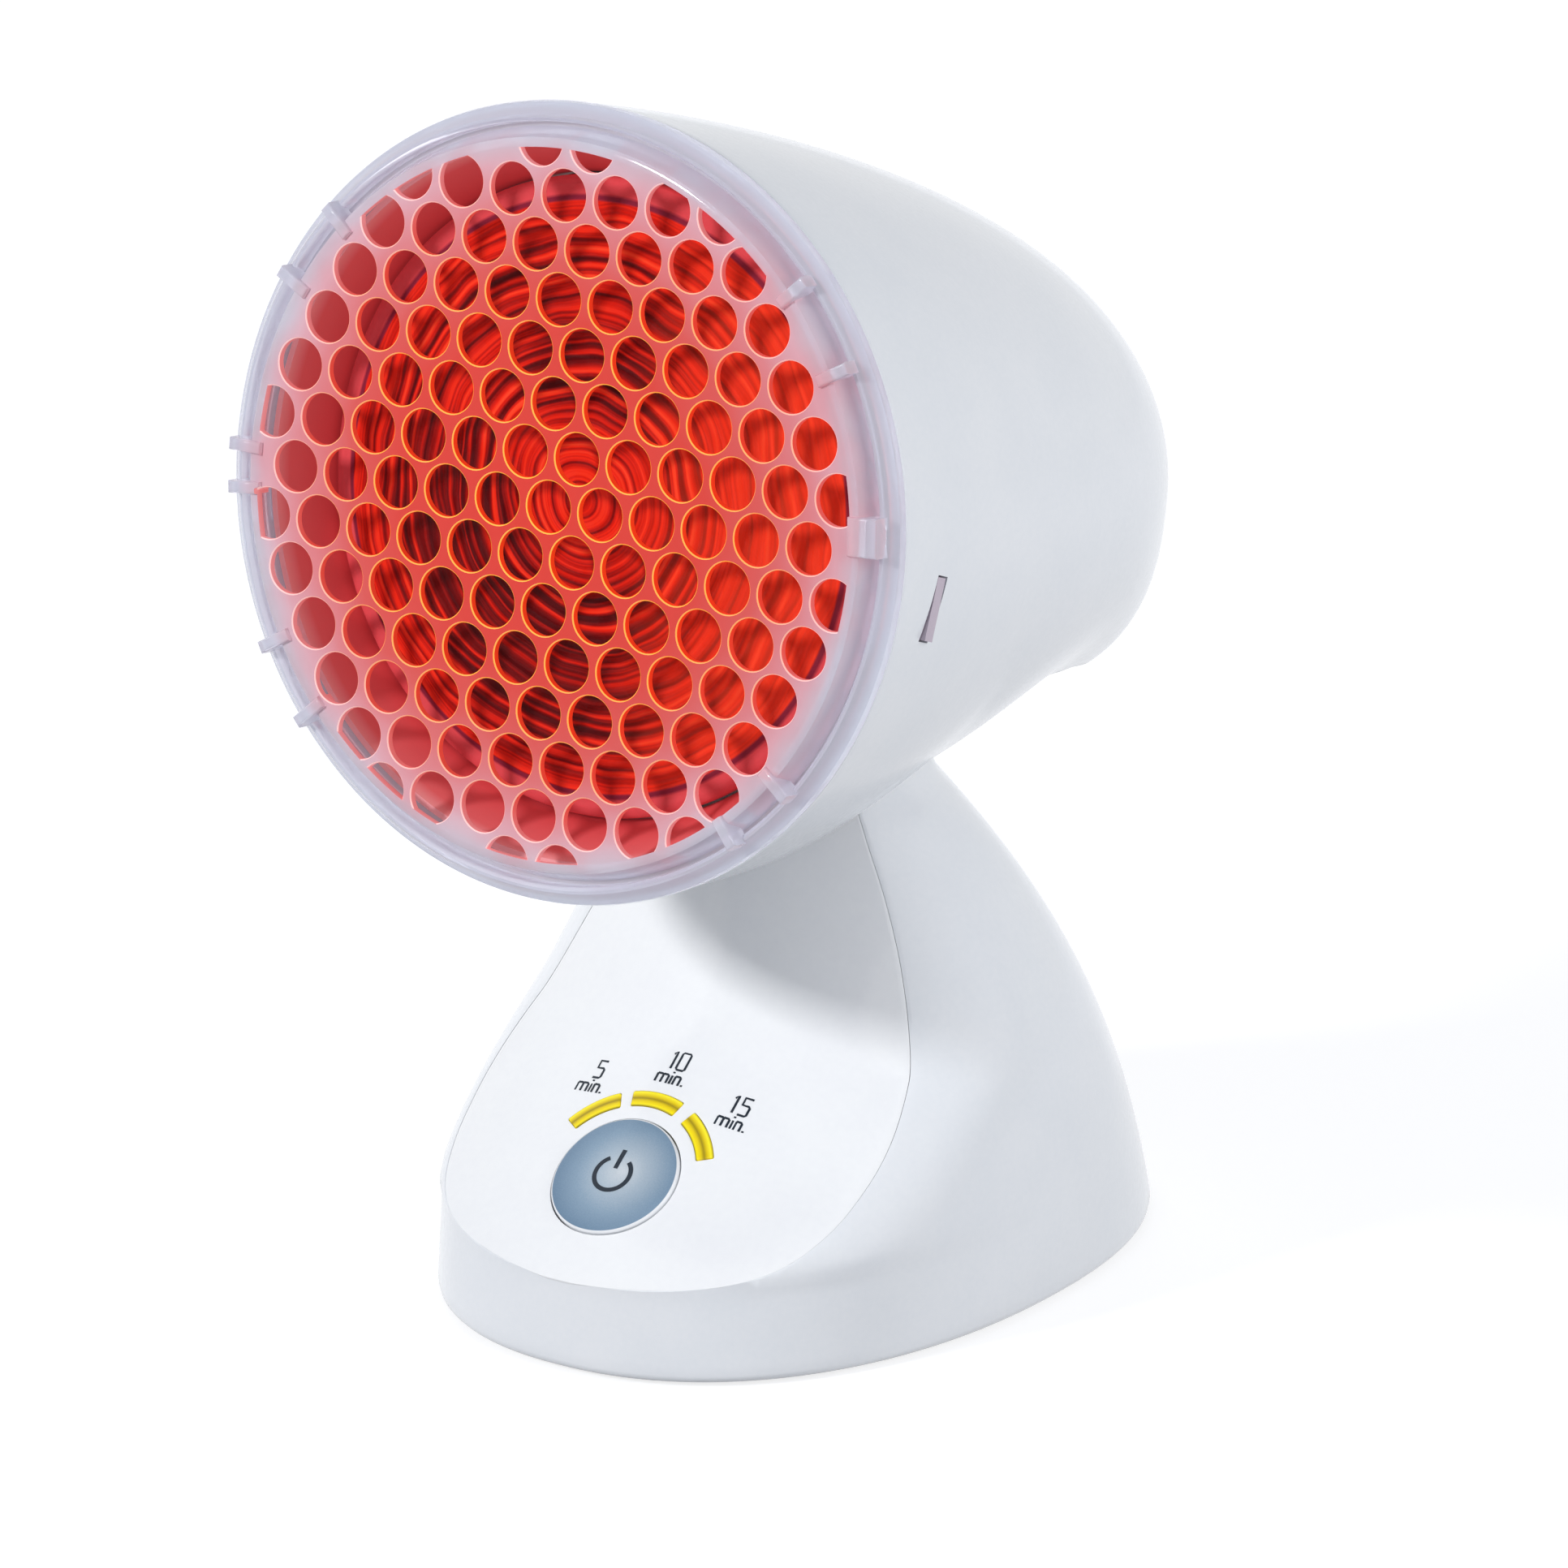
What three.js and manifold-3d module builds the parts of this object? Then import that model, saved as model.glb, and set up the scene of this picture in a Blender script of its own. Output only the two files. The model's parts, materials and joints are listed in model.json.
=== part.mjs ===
// Infrared heat therapy lamp on a tilting neck, in millimetres and degrees, +Z up.
// The grille looks towards -Y. The origin is the middle of the footprint of the whole lamp.
import * as THREE from 'three';
import { mergeVertices } from 'three/addons/utils/BufferGeometryUtils.js';
import Module from 'manifold-3d';

const wasm = await Module();
wasm.setup();

// Driving dimensions
const bulbRadius = 60.5; // reflector bulb of 121 mm
const bulbNeckDepth = 77; // rim of the bulb to its screw cap
const bulbRoom = 14.5; // round the bulb, to the outside of the cowl at its front edge
const rearRoom = 17.5; // plate of the socket to the rearmost point of the cowl
const headTilt = 9; // how far the grille looks up
const headCentreY = -73; // middle of the cowl's front edge, from the middle of the base
const headRise = 76; // middle of the cowl's front edge above the shoulder
const baseHalfWidth = 60.2;
const baseFront = 87.2; // widest line of the base to its front, at the table
const baseRear = 74.9; // widest line of the base to its rear, at the table
const baseWidestY = 7.3; // widest line of the base
const shoulderHeight = 95; // where the flared base becomes the neck
const pivotBehindNeck = 8; // tilt axle behind the bulb's neck
const neckHalfWidth = 13; // tongue between the ears of the hinge

// Clearances shared by the pieces
const seatGap = 0.3; // between pieces that rest on each other
const runGap = 0.3; // round a shaft or a sliding piece
const overrun = 5; // how far a cutter passes the face that it cuts
const weld = 3e-5; // points closer than this are one

// Facet counts
const ringPoints = 32;
const basePoints = 28;
const rimSides = 48;
const holeSides = 8;
const roundSides = 20;
const nutSides = 6;
const shaftSides = 16;
const smallSides = 8;

const radians = Math.PI / 180;
const quarter = Math.PI / 2;
const headRadius = bulbRadius + bulbRoom;
const headCentreZ = shoulderHeight + headRise;

// Solids from geometry, for joining and cutting
function solidOf(geometry) {
  const bare = geometry.clone();
  bare.deleteAttribute('normal');
  bare.deleteAttribute('uv');
  const merged = mergeVertices(bare, weld);
  const places = merged.attributes.position.array;
  const corners = Uint32Array.from(merged.index.array);
  let volume = 0;
  const [a, b, c] = [new THREE.Vector3(), new THREE.Vector3(), new THREE.Vector3()];
  for (let i = 0; i < corners.length; i += 3) {
    a.fromArray(places, corners[i] * 3);
    b.fromArray(places, corners[i + 1] * 3);
    c.fromArray(places, corners[i + 2] * 3);
    volume += a.dot(b.cross(c));
  }
  if (volume < 0) {
    for (let i = 0; i < corners.length; i += 3) {
      [corners[i + 1], corners[i + 2]] = [corners[i + 2], corners[i + 1]];
    }
  }
  return new wasm.Manifold(new wasm.Mesh({
    numProp: 3,
    vertProperties: Float32Array.from(places),
    triVerts: corners,
  }));
}

function geometryOf(solid) {
  const mesh = solid.getMesh();
  const geometry = new THREE.BufferGeometry();
  geometry.setAttribute('position', new THREE.BufferAttribute(new Float32Array(mesh.vertProperties), 3));
  geometry.setIndex(new THREE.BufferAttribute(new Uint32Array(mesh.triVerts), 1));
  geometry.computeVertexNormals();
  return geometry;
}

const join = (first, ...others) => others.reduce((whole, other) => whole.add(other), first);
const cut = (first, ...others) => others.reduce((whole, other) => whole.subtract(other), first);

// Box between two corners
function block(low, high) {
  const geometry = new THREE.BoxGeometry(high[0] - low[0], high[1] - low[1], high[2] - low[2]);
  geometry.translate((low[0] + high[0]) / 2, (low[1] + high[1]) / 2, (low[2] + high[2]) / 2);
  return solidOf(geometry);
}

// Round bar along an axis, centred on a point of the plane across it
function bar(axis, radius, from, to, across = [0, 0], sides = smallSides) {
  const geometry = new THREE.CylinderGeometry(radius, radius, to - from, sides);
  geometry.translate(0, (from + to) / 2, 0);
  if (axis === 'x') geometry.rotateZ(-quarter).translate(0, across[0], across[1]);
  if (axis === 'y') geometry.translate(across[0], 0, across[1]);
  if (axis === 'z') geometry.rotateX(quarter).translate(across[0], across[1], 0);
  return solidOf(geometry);
}

// Turned piece about the Y axis: rows of [radius, place along Y]
function turned(rows, sides = roundSides) {
  const points = rows.map(([radius, along]) => new THREE.Vector2(radius, along));
  return solidOf(new THREE.LatheGeometry(points, sides));
}

// Skin over a row of outlines with as many points each, with a fan over both ends
function skinned(rings) {
  const count = rings[0].length;
  const places = rings.flat(2);
  const faces = [];
  for (let r = 0; r + 1 < rings.length; r += 1) {
    for (let i = 0; i < count; i += 1) {
      const next = (i + 1) % count;
      const [a, b] = [r * count + i, r * count + next];
      faces.push(a, b, b + count, a, b + count, a + count);
    }
  }
  [0, rings.length - 1].forEach((r) => {
    const middle = [0, 1, 2].map((k) => rings[r].reduce((sum, p) => sum + p[k], 0) / count);
    const hub = places.push(...middle) / 3 - 1;
    for (let i = 0; i < count; i += 1) {
      const [a, b] = [r * count + i, r * count + ((i + 1) % count)];
      faces.push(...(r === 0 ? [hub, b, a] : [hub, a, b]));
    }
  });
  const geometry = new THREE.BufferGeometry();
  geometry.setAttribute('position', new THREE.Float32BufferAttribute(places, 3));
  geometry.setIndex(faces);
  return solidOf(geometry);
}

// Smooth value through a table of [place, value] rows
function through(rows, place) {
  const last = rows.length - 1;
  let i = 0;
  while (i < last - 1 && place > rows[i + 1][0]) i += 1;
  const slope = (k) => {
    const [low, high] = [Math.max(k - 1, 0), Math.min(k + 1, last)];
    return (rows[high][1] - rows[low][1]) / (rows[high][0] - rows[low][0]);
  };
  const span = rows[i + 1][0] - rows[i][0];
  const t = THREE.MathUtils.clamp((place - rows[i][0]) / span, 0, 1);
  const [t2, t3] = [t * t, t * t * t];
  return (2 * t3 - 3 * t2 + 1) * rows[i][1] + (t3 - 2 * t2 + t) * span * slope(i)
    + (3 * t2 - 2 * t3) * rows[i + 1][1] + (t3 - t2) * span * slope(i + 1);
}

const rounded = (value, power) => Math.sign(value) * Math.abs(value) ** power;

// Finishes
const finish = (colour, roughness, metalness = 0, extra = {}) => new THREE.MeshStandardMaterial({
  color: colour, roughness, metalness, ...extra,
});
const whiteShell = finish(0xf1f4f6, 0.35);
const whiteGloss = finish(0xfbfcfd, 0.18);
const clearPlastic = finish(0xe9dfe6, 0.2, 0, { transparent: true, opacity: 0.4 });
const redGlass = finish(0xd9170e, 0.12);
const silveredGlass = finish(0xb98f8c, 0.2, 0.6);
const steel = finish(0xb9bec4, 0.35, 0.9);
const brass = finish(0xc9a552, 0.3, 0.9);
const ceramic = finish(0xf0ece2, 0.5);
const blackPlastic = finish(0x1d1f21, 0.5);
const boardGreen = finish(0x1c5a35, 0.5);
const rubber = finish(0x2a2b2d, 0.8);
const amber = finish(0xffd400, 0.3, 0, { emissive: 0x8a6a00 });
const buttonGrey = finish(0x93a9bf, 0.35, 0.3);
const linerGrey = finish(0xe6cfd0, 0.4, 0.2);

const lamp = new THREE.Group();
const head = new THREE.Group();
head.position.set(0, headCentreY, headCentreZ);
head.rotation.x = -headTilt * radians;
const controls = new THREE.Group();
lamp.add(head, controls);

function piece(parent, name, solid, material) {
  const mesh = new THREE.Mesh(geometryOf(solid), material);
  mesh.name = name;
  parent.add(mesh);
  return mesh;
}

// In the head's own frame Y runs to the rear along the bulb, from the cowl's front edge,
// and Z runs up across it. A point of that frame in the lamp's frame:
function fromHead(along, up) {
  const [c, s] = [Math.cos(headTilt * radians), Math.sin(headTilt * radians)];
  return [headCentreY + along * c + up * s, headCentreZ - along * s + up * c];
}

// Sizes of the bulb, and the places of its pieces behind the cowl's front edge
const bulb = {
  rimAlong: 10,
  rimDepth: 8,
  crown: 6,
  lensWall: 3,
  lensSteps: 4,
  bodyWall: 2.2,
  vertexBehindNeck: 5, // of the reflector's curve
  neckRadius: 17,
  bodySteps: 6,
  capSkirtRadius: 18.2,
  capSkirt: 5,
  capRadius: 13.2,
  capThread: 0.7,
  capTurns: 4,
  capPitch: 4.5,
  capWall: 0.8,
  glassRadius: 9,
  glassHeight: 2.4,
  contactRadius: 4.6,
  contactHeight: 1.6,
};

const neckAlong = bulb.rimAlong + bulbNeckDepth;
const vertexAlong = neckAlong + bulb.vertexBehindNeck;
const capStart = neckAlong + seatGap;
const threadStart = capStart + bulb.capSkirt;
const capEnd = threadStart + bulb.capTurns * bulb.capPitch;
const glassStart = capEnd + seatGap;
const contactStart = glassStart + bulb.glassHeight + seatGap;

// Sizes of the socket round the cap and of the plate behind it
const socket = {
  radius: 18.5,
  wall: 3.2,
  lip: 1.6, // behind the bulb's cap skirt
  floor: 5,
  behindContact: 3.4,
  shellWall: 0.6,
  shellDepth: 15,
  tongueWidth: 5,
  tongueThickness: 0.8,
  screwX: 11,
  screwRadius: 1.4,
  screwHead: 2.8,
  screwHeadHeight: 1.8,
  screwBite: 3.4,
};
const contactEnd = contactStart + bulb.contactHeight;
const socketFloor = contactEnd + socket.behindContact;
const socketEnd = socketFloor + socket.floor;
const socketMouth = threadStart + seatGap;
const socketBore = socket.radius - socket.wall;
const socketPlate = { thickness: 1.4, cableHoleRadius: 5, ventRadius: 4 };
const plateStart = socketEnd + seatGap;
const plateEnd = plateStart + socketPlate.thickness;
const screwSeat = plateEnd + seatGap;
const headLength = plateEnd + rearRoom;

// Cowl of the head: a round front that narrows to a blunt rear, with a flat belly behind
// the neck opening
const cowl = {
  wall: 2.6,
  sideFall: 4.53, // the sides stay wide
  sideRound: 2.12,
  topFall: 1.13, // the top falls steadily
  topRound: 3.04,
  bellyDepth: 33.8, // flat belly below the bulb's axis
  pivotAboveBelly: 1.8,
  bellyStartShare: 0.6,
  lowerSquare: 2.55, // how square the lower corners are at the rear
  squareFromShare: 0.35,
  squareToShare: 0.75,
  squareFront: 2,
  ventHalfWidth: 21,
  ventHeight: 3,
  ventPitch: 7,
  ventLowest: -10,
  ventCount: 6,
  ventDepth: 30,
};
const cowlLowerShares = [
  [0, 1], [0.2, 0.973], [0.4, 0.805], [0.6, 0.612], [0.75, 0.61], [0.88, 0.62], [1, 0.62],
];
const cowlRingShares = [
  0, 0.12, 0.23, 0.34, 0.45, 0.54, 0.6, 0.625, 0.72, 0.81, 0.88, 0.93, 0.965, 0.99,
];
const cowlEndShare = 0.88; // where the lower half starts to round off

function cowlRing(share, inset) {
  const radius = headRadius - inset;
  const side = radius * (1 - share ** cowl.sideFall) ** (1 / cowl.sideRound);
  const top = radius * (1 - share ** cowl.topFall) ** (1 / cowl.topRound);
  const ending = THREE.MathUtils.clamp((share - cowlEndShare) / (1 - cowlEndShare), 0, 1);
  const bottom = radius * through(cowlLowerShares, share) * Math.sqrt(1 - ending ** 2);
  const squareness = THREE.MathUtils.clamp(
    (share - cowl.squareFromShare) / (cowl.squareToShare - cowl.squareFromShare), 0, 1,
  );
  const lower = cowl.squareFront + (cowl.lowerSquare - cowl.squareFront) * squareness;
  const belly = share > cowl.bellyStartShare ? cowl.bellyDepth - inset : radius;
  return Array.from({ length: ringPoints }, (_, i) => {
    const angle = (i / ringPoints) * 2 * Math.PI;
    const [c, s] = [Math.cos(angle), Math.sin(angle)];
    const power = s > 0 ? 1 : 2 / lower;
    const up = s > 0 ? top * s : Math.max(bottom * rounded(s, power), -belly);
    return [side * rounded(c, power), share * (headLength - inset), up];
  });
}

function cowlSolid(inset, frontOverrun) {
  const rings = cowlRingShares.map((share) => cowlRing(share, inset));
  if (frontOverrun > 0) rings.unshift(rings[0].map(([x, , z]) => [x, -frontOverrun, z]));
  return skinned(rings.map((ring) => ring.slice().reverse()));
}

// Grille: a shallow clear cap with a perforated face, held by a skirt and two snap tongues
const grille = {
  overhang: 0.4, // past the cowl
  rimThickness: 2.2,
  beadInset: 2.4, // middle of the raised ring, in from the cowl's radius
  beadHalf: 1.3,
  beadFront: 4.4, // ahead of the cowl's edge
  grooveInset: 4.4,
  grooveFront: 1.9,
  faceInset: 6.4,
  faceFront: 6.6,
  faceThickness: 2.6,
  skirtDepth: 4,
  skirtWall: 1.6,
  skirtClear: 1.3, // the cowl narrows behind its edge
  turn: 2.5, // the pattern is turned a little about the bulb's axis
  zoneInset: 8,
  holeRadius: 5.3,
  holePitch: 11.62,
  rowPitch: 9.73,
  leastSliver: 3.2, // a hole at the edge is kept if this much of it lies in the zone
  lugWidth: 2.4,
  lugReach: 7.3,
  lugInset: 1.7,
  lugFront: 7.6,
  lugBack: 3,
};
const faceRadius = headRadius - grille.faceInset;
const beadRadius = headRadius - grille.beadInset;
const rimRadius = headRadius + grille.overhang;
const zoneRadius = headRadius - grille.zoneInset;
const lugAngles = [42, 28, 137, 150, -151, -138.5, -40, -52, 178, -175.5];
const latchLug = { angle: 3, width: 7.4, reach: 6.5 };
const tongue = {
  length: 19,
  thickness: 1.7,
  halfHeight: 7.5,
  lean: 14, // of the catch, about the cowl's side
  catchLength: 12,
  catchWidth: 2.6,
  catchAlong: 12,
  catchUp: -7.9,
  catchProud: 0.2, // under the cowl's surface
};
const skirtRadius = headRadius - cowl.wall - grille.skirtClear;

function grilleHoles() {
  const holes = [];
  const rows = Math.floor((zoneRadius + grille.holeRadius) / grille.rowPitch);
  const columns = Math.ceil(zoneRadius / grille.holePitch) + 1;
  const holeFront = -grille.faceFront - overrun;
  for (let row = -rows; row <= rows; row += 1) {
    const shift = row % 2 === 0 ? 0 : grille.holePitch / 2;
    for (let column = -columns; column <= columns; column += 1) {
      const [x, z] = [column * grille.holePitch + shift, row * grille.rowPitch];
      const inside = zoneRadius + grille.holeRadius - Math.hypot(x, z);
      if (inside >= grille.leastSliver) {
        holes.push(bar('y', grille.holeRadius, holeFront, overrun, [x, z], holeSides));
      }
    }
  }
  const zone = bar('y', zoneRadius, holeFront, overrun, [0, 0], rimSides);
  return wasm.Manifold.union(holes).intersect(zone);
}

function lug(angle, width, reach) {
  const outer = headRadius - grille.lugInset;
  const geometry = new THREE.BoxGeometry(reach, grille.lugFront - grille.lugBack, width);
  geometry.translate(outer - reach / 2, -(grille.lugFront + grille.lugBack) / 2, 0);
  geometry.rotateY(-angle * radians);
  return solidOf(geometry);
}

// The catch of a tongue fills the slot in the side of the cowl
function catchSolid(side, grow) {
  const inner = skirtRadius - tongue.thickness;
  const outer = grow > 0 ? headRadius + overrun : headRadius - tongue.catchProud;
  const geometry = new THREE.BoxGeometry(
    outer - inner, tongue.catchWidth + 2 * grow, tongue.catchLength + 2 * grow,
  );
  geometry.rotateX(tongue.lean * radians);
  geometry.translate((side * (outer + inner)) / 2, tongue.catchAlong, tongue.catchUp);
  return solidOf(geometry);
}

function tongueSolid(side) {
  const ring = turned([
    [skirtRadius - tongue.thickness, 0], [skirtRadius, 0],
    [skirtRadius, tongue.length], [skirtRadius - tongue.thickness, tongue.length],
    [skirtRadius - tongue.thickness, 0],
  ], rimSides);
  const window = block(
    [Math.min(0, side * headRadius), -overrun, tongue.catchUp - tongue.halfHeight],
    [Math.max(0, side * headRadius), headLength, tongue.catchUp + tongue.halfHeight],
  );
  return ring.intersect(window);
}

function grilleSolid() {
  const g = grille;
  const back = g.faceFront - g.faceThickness;
  const rim = turned([
    [0, -g.faceFront], [faceRadius, -g.faceFront], [headRadius - g.grooveInset, -g.grooveFront],
    [beadRadius - g.beadHalf, -g.grooveFront], [beadRadius - g.beadHalf / 2, -g.beadFront],
    [beadRadius + g.beadHalf / 2, -g.beadFront], [rimRadius, -g.rimThickness],
    [rimRadius, -seatGap], [skirtRadius, -seatGap], [skirtRadius, g.skirtDepth],
    [skirtRadius - g.skirtWall, g.skirtDepth], [skirtRadius - g.skirtWall, 0],
    [faceRadius - g.skirtWall, -back], [0, -back],
  ], rimSides);
  const lugs = lugAngles.map((angle) => lug(angle, g.lugWidth, g.lugReach));
  lugs.push(lug(latchLug.angle, latchLug.width, latchLug.reach));
  const pierced = cut(join(rim, ...lugs), grilleHoles());
  const turnedFace = pierced.rotate([0, -g.turn, 0]);
  return join(turnedFace, tongueSolid(1), tongueSolid(-1), catchSolid(1, 0), catchSolid(-1, 0));
}

piece(head, 'grille', grilleSolid(), clearPlastic);

// Tilt joint: the pivot lies inside the head, under the lamp socket
const pivotAlong = neckAlong + pivotBehindNeck;
const pivotUp = cowl.pivotAboveBelly - cowl.bellyDepth;
const knuckleRadius = 12;
const axleRadius = 2.9;
const discThickness = 1.5;
const earThickness = 2;
// Opening in the belly that the neck swings in
const neckSlot = { halfWidth: 25, ahead: 29, behind: 20 }; // of the pivot
const slotRear = pivotAlong + neckSlot.behind;

function cowlShell() {
  const c = cowl;
  const body = cut(cowlSolid(0, 0), cowlSolid(c.wall, overrun));
  const vents = Array.from({ length: c.ventCount }, (_, i) => {
    const low = c.ventLowest + i * c.ventPitch;
    return block(
      [-c.ventHalfWidth, headLength - c.ventDepth, low],
      [c.ventHalfWidth, headLength + overrun, low + c.ventHeight],
    );
  });
  const slot = block(
    [-neckSlot.halfWidth, pivotAlong - neckSlot.ahead, -headRadius - overrun],
    [neckSlot.halfWidth, slotRear, -c.bellyDepth + c.wall + overrun],
  );
  const catches = [-1, 1].map((side) => catchSolid(side, seatGap));
  return cut(body, ...vents, slot, ...catches, bracketBores());
}

// Bracket that carries the head on the axle: a foot on the belly and an ear on each side
const bracket = {
  thickness: 1.5,
  footBehindPivot: 6,
  behindSlot: 5,
  bridge: 4, // strip behind the neck opening
  besideSlot: 12,
  earRadius: 7,
  screwBesideSlot: 6,
  screwBehindPivot: 15,
  screwRadius: 1.5,
  screwHeadRadius: 3,
  screwHeadHeight: 1.8,
  screwBite: 1.6, // into the belly
};
const bracketReach = neckSlot.halfWidth + bracket.besideSlot;
const bracketRear = slotRear + bracket.behindSlot;
const bracketScrewX = neckSlot.halfWidth + bracket.screwBesideSlot;
const bracketScrewAlong = pivotAlong + bracket.screwBehindPivot;
const earInner = neckHalfWidth + discThickness + 2 * seatGap;
const bellyInside = -cowl.bellyDepth + cowl.wall;
const footUnder = bellyInside + seatGap;
const footTop = footUnder + bracket.thickness;
const earTop = pivotUp + bracket.earRadius;

function bracketBores() {
  const low = bellyInside - bracket.screwBite - seatGap;
  return join(...[-1, 1].map((side) => bar(
    'z', bracket.screwRadius + runGap, low, footTop + overrun,
    [side * bracketScrewX, bracketScrewAlong],
  )));
}

function bracketSolid() {
  const b = bracket;
  const sides = [-1, 1].map((side) => {
    const span = (near, far) => [side * near, side * far].sort((one, other) => one - other);
    const [low, high] = span(earInner, earInner + earThickness);
    const [near, far] = span(earInner, bracketReach);
    return join(
      bar('x', b.earRadius, low, high, [pivotAlong, pivotUp], roundSides),
      block([low, pivotAlong, footUnder], [high, bracketRear, earTop]),
      block([near, pivotAlong + b.footBehindPivot, footUnder], [far, bracketRear, footTop]),
    );
  });
  const bridge = block(
    [-bracketReach, bracketRear - b.bridge, footUnder], [bracketReach, bracketRear, footTop],
  );
  const at = [pivotAlong, pivotUp];
  const bore = bar('x', axleRadius + runGap, -bracketReach, bracketReach, at, shaftSides);
  return cut(join(...sides, bridge), bore, bracketBores());
}

piece(head, 'head_shell', cowlShell(), whiteShell);
piece(head, 'hinge_bracket', bracketSolid(), steel);

[['left', -1], ['right', 1]].forEach(([word, side]) => {
  const at = [side * bracketScrewX, bracketScrewAlong];
  const headLow = footTop + seatGap;
  const tip = bellyInside - bracket.screwBite;
  piece(head, `bracket_screw_${word}`, join(
    bar('z', bracket.screwHeadRadius, headLow, headLow + bracket.screwHeadHeight, at),
    bar('z', bracket.screwRadius, tip, headLow + bracket.screwHeadHeight / 2, at),
  ), steel);
});

// Axle through both ears and the knuckle, with its head on the left and a nut on the right
const axle = {
  headRadius: 5, headHeight: 2.6, nutRadius: 5.2, nutHeight: 3, tip: 1, washerRadius: 5.6, washer: 0.8,
};
const earOuter = earInner + earThickness;
const axleEnd = earOuter + axle.washer + axle.nutHeight + axle.tip + 2 * seatGap;
const atPivot = [pivotAlong, pivotUp];
const washerLow = earOuter + seatGap;
piece(head, 'hinge_axle', join(
  bar('x', axleRadius, -washerLow - axle.headHeight / 2, axleEnd, atPivot, shaftSides),
  bar('x', axle.headRadius, -washerLow - axle.headHeight, -washerLow, atPivot, roundSides),
), steel);
piece(head, 'axle_washer', cut(
  bar('x', axle.washerRadius, washerLow, washerLow + axle.washer, atPivot, roundSides),
  bar('x', axleRadius + runGap, washerLow - overrun, washerLow + overrun, atPivot, shaftSides),
), steel);
const nutLow = washerLow + axle.washer + seatGap;
piece(head, 'axle_nut', cut(
  bar('x', axle.nutRadius, nutLow, nutLow + axle.nutHeight, atPivot, nutSides),
  bar('x', axleRadius + runGap, nutLow - overrun, nutLow + axle.nutHeight + overrun, atPivot, shaftSides),
), steel);

// Leaf that clicks over the notches of the detent disc: it stands on the bracket's foot
// and reaches over the ear
const detent = {
  discRadius: 9.4,
  notchRadius: 1.1,
  step: 10, // degrees from click to click
  first: -10,
  count: 5,
  leaf: 0.8,
  leafBehindPivot: 11,
  leafReach: 24,
  nose: 1,
  noseRise: 5,
  top: 3, // above the ear
};
const discX = neckHalfWidth + seatGap;
const noseSpan = Math.sqrt(detent.discRadius ** 2 - detent.noseRise ** 2);
function detentLeaf() {
  const d = detent;
  const front = pivotAlong + d.leafBehindPivot;
  const [rear, top] = [front + d.leaf, earTop + d.top];
  const noseLow = pivotUp + d.noseRise - d.nose / 2;
  const noseTip = pivotAlong + noseSpan + seatGap;
  return join(
    block([earInner + earThickness + seatGap, front, footTop + seatGap], [d.leafReach, rear, top]),
    block([discX, front, earTop + seatGap], [d.leafReach, rear, top]),
    block([discX, front, noseLow], [discX + discThickness, rear, top]),
    block([discX, noseTip, noseLow], [discX + discThickness, rear, noseLow + d.nose]),
  );
}
piece(head, 'detent_spring', detentLeaf(), steel);

// Bulb: a pressed red lens on a silvered reflector, with a screw cap
function lensSolid() {
  const b = bulb;
  const sphere = (bulbRadius ** 2 + b.crown ** 2) / (2 * b.crown);
  const arc = (shift) => Array.from({ length: b.lensSteps + 1 }, (_, i) => {
    const radius = ((bulbRadius - shift) * i) / b.lensSteps;
    const along = b.rimAlong - b.crown + sphere - Math.sqrt(sphere ** 2 - radius ** 2) + shift;
    return [radius, Math.min(along, b.rimAlong + b.lensWall)];
  });
  const rows = [...arc(0), [bulbRadius, b.rimAlong + b.lensWall], ...arc(b.lensWall).reverse()];
  return turned(rows);
}

function reflectorSolid() {
  const b = bulb;
  const start = b.rimAlong + b.lensWall + seatGap;
  const from = b.rimAlong + b.rimDepth;
  const radiusAt = (along, wall) => (bulbRadius - wall)
    * Math.sqrt((vertexAlong - along) / (vertexAlong - from));
  const curve = (wall) => Array.from({ length: b.bodySteps + 1 }, (_, i) => {
    const along = from + ((neckAlong - wall - from) * i) / b.bodySteps;
    return [Math.max(radiusAt(along, wall), b.neckRadius - wall), along];
  });
  return turned([
    [bulbRadius - b.bodyWall, start], [bulbRadius, start], ...curve(0), [0, neckAlong],
    [0, neckAlong - b.bodyWall], ...curve(b.bodyWall).reverse(), [bulbRadius - b.bodyWall, start],
  ].filter((row, i, all) => i === 0 || row[0] !== all[i - 1][0] || row[1] !== all[i - 1][1]));
}

function capSolid() {
  const b = bulb;
  const threads = Array.from({ length: b.capTurns }, (_, i) => [
    [b.capRadius, threadStart + i * b.capPitch],
    [b.capRadius + b.capThread, threadStart + (i + 0.5) * b.capPitch],
  ]).flat();
  return turned([
    [b.neckRadius, capStart], [b.capSkirtRadius, capStart], ...threads,
    [b.capRadius, capEnd], [b.glassRadius, capEnd], [b.glassRadius, capEnd - b.capWall],
    [b.capRadius - b.capWall, capEnd - b.capWall], [b.capRadius - b.capWall, threadStart],
    [b.neckRadius, capStart],
  ]);
}

piece(head, 'bulb_lens', lensSolid(), redGlass);
piece(head, 'bulb_reflector', reflectorSolid(), silveredGlass);
piece(head, 'bulb_cap', capSolid(), brass);
piece(head, 'bulb_cap_insulator', turned([
  [0, glassStart], [bulb.glassRadius, glassStart], [bulb.contactRadius, glassStart + bulb.glassHeight],
  [0, glassStart + bulb.glassHeight],
]), blackPlastic);
piece(head, 'bulb_contact', turned([
  [0, contactStart], [bulb.contactRadius, contactStart],
  [bulb.contactRadius / 2, contactStart + bulb.contactHeight], [0, contactStart + bulb.contactHeight],
]), steel);

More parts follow.
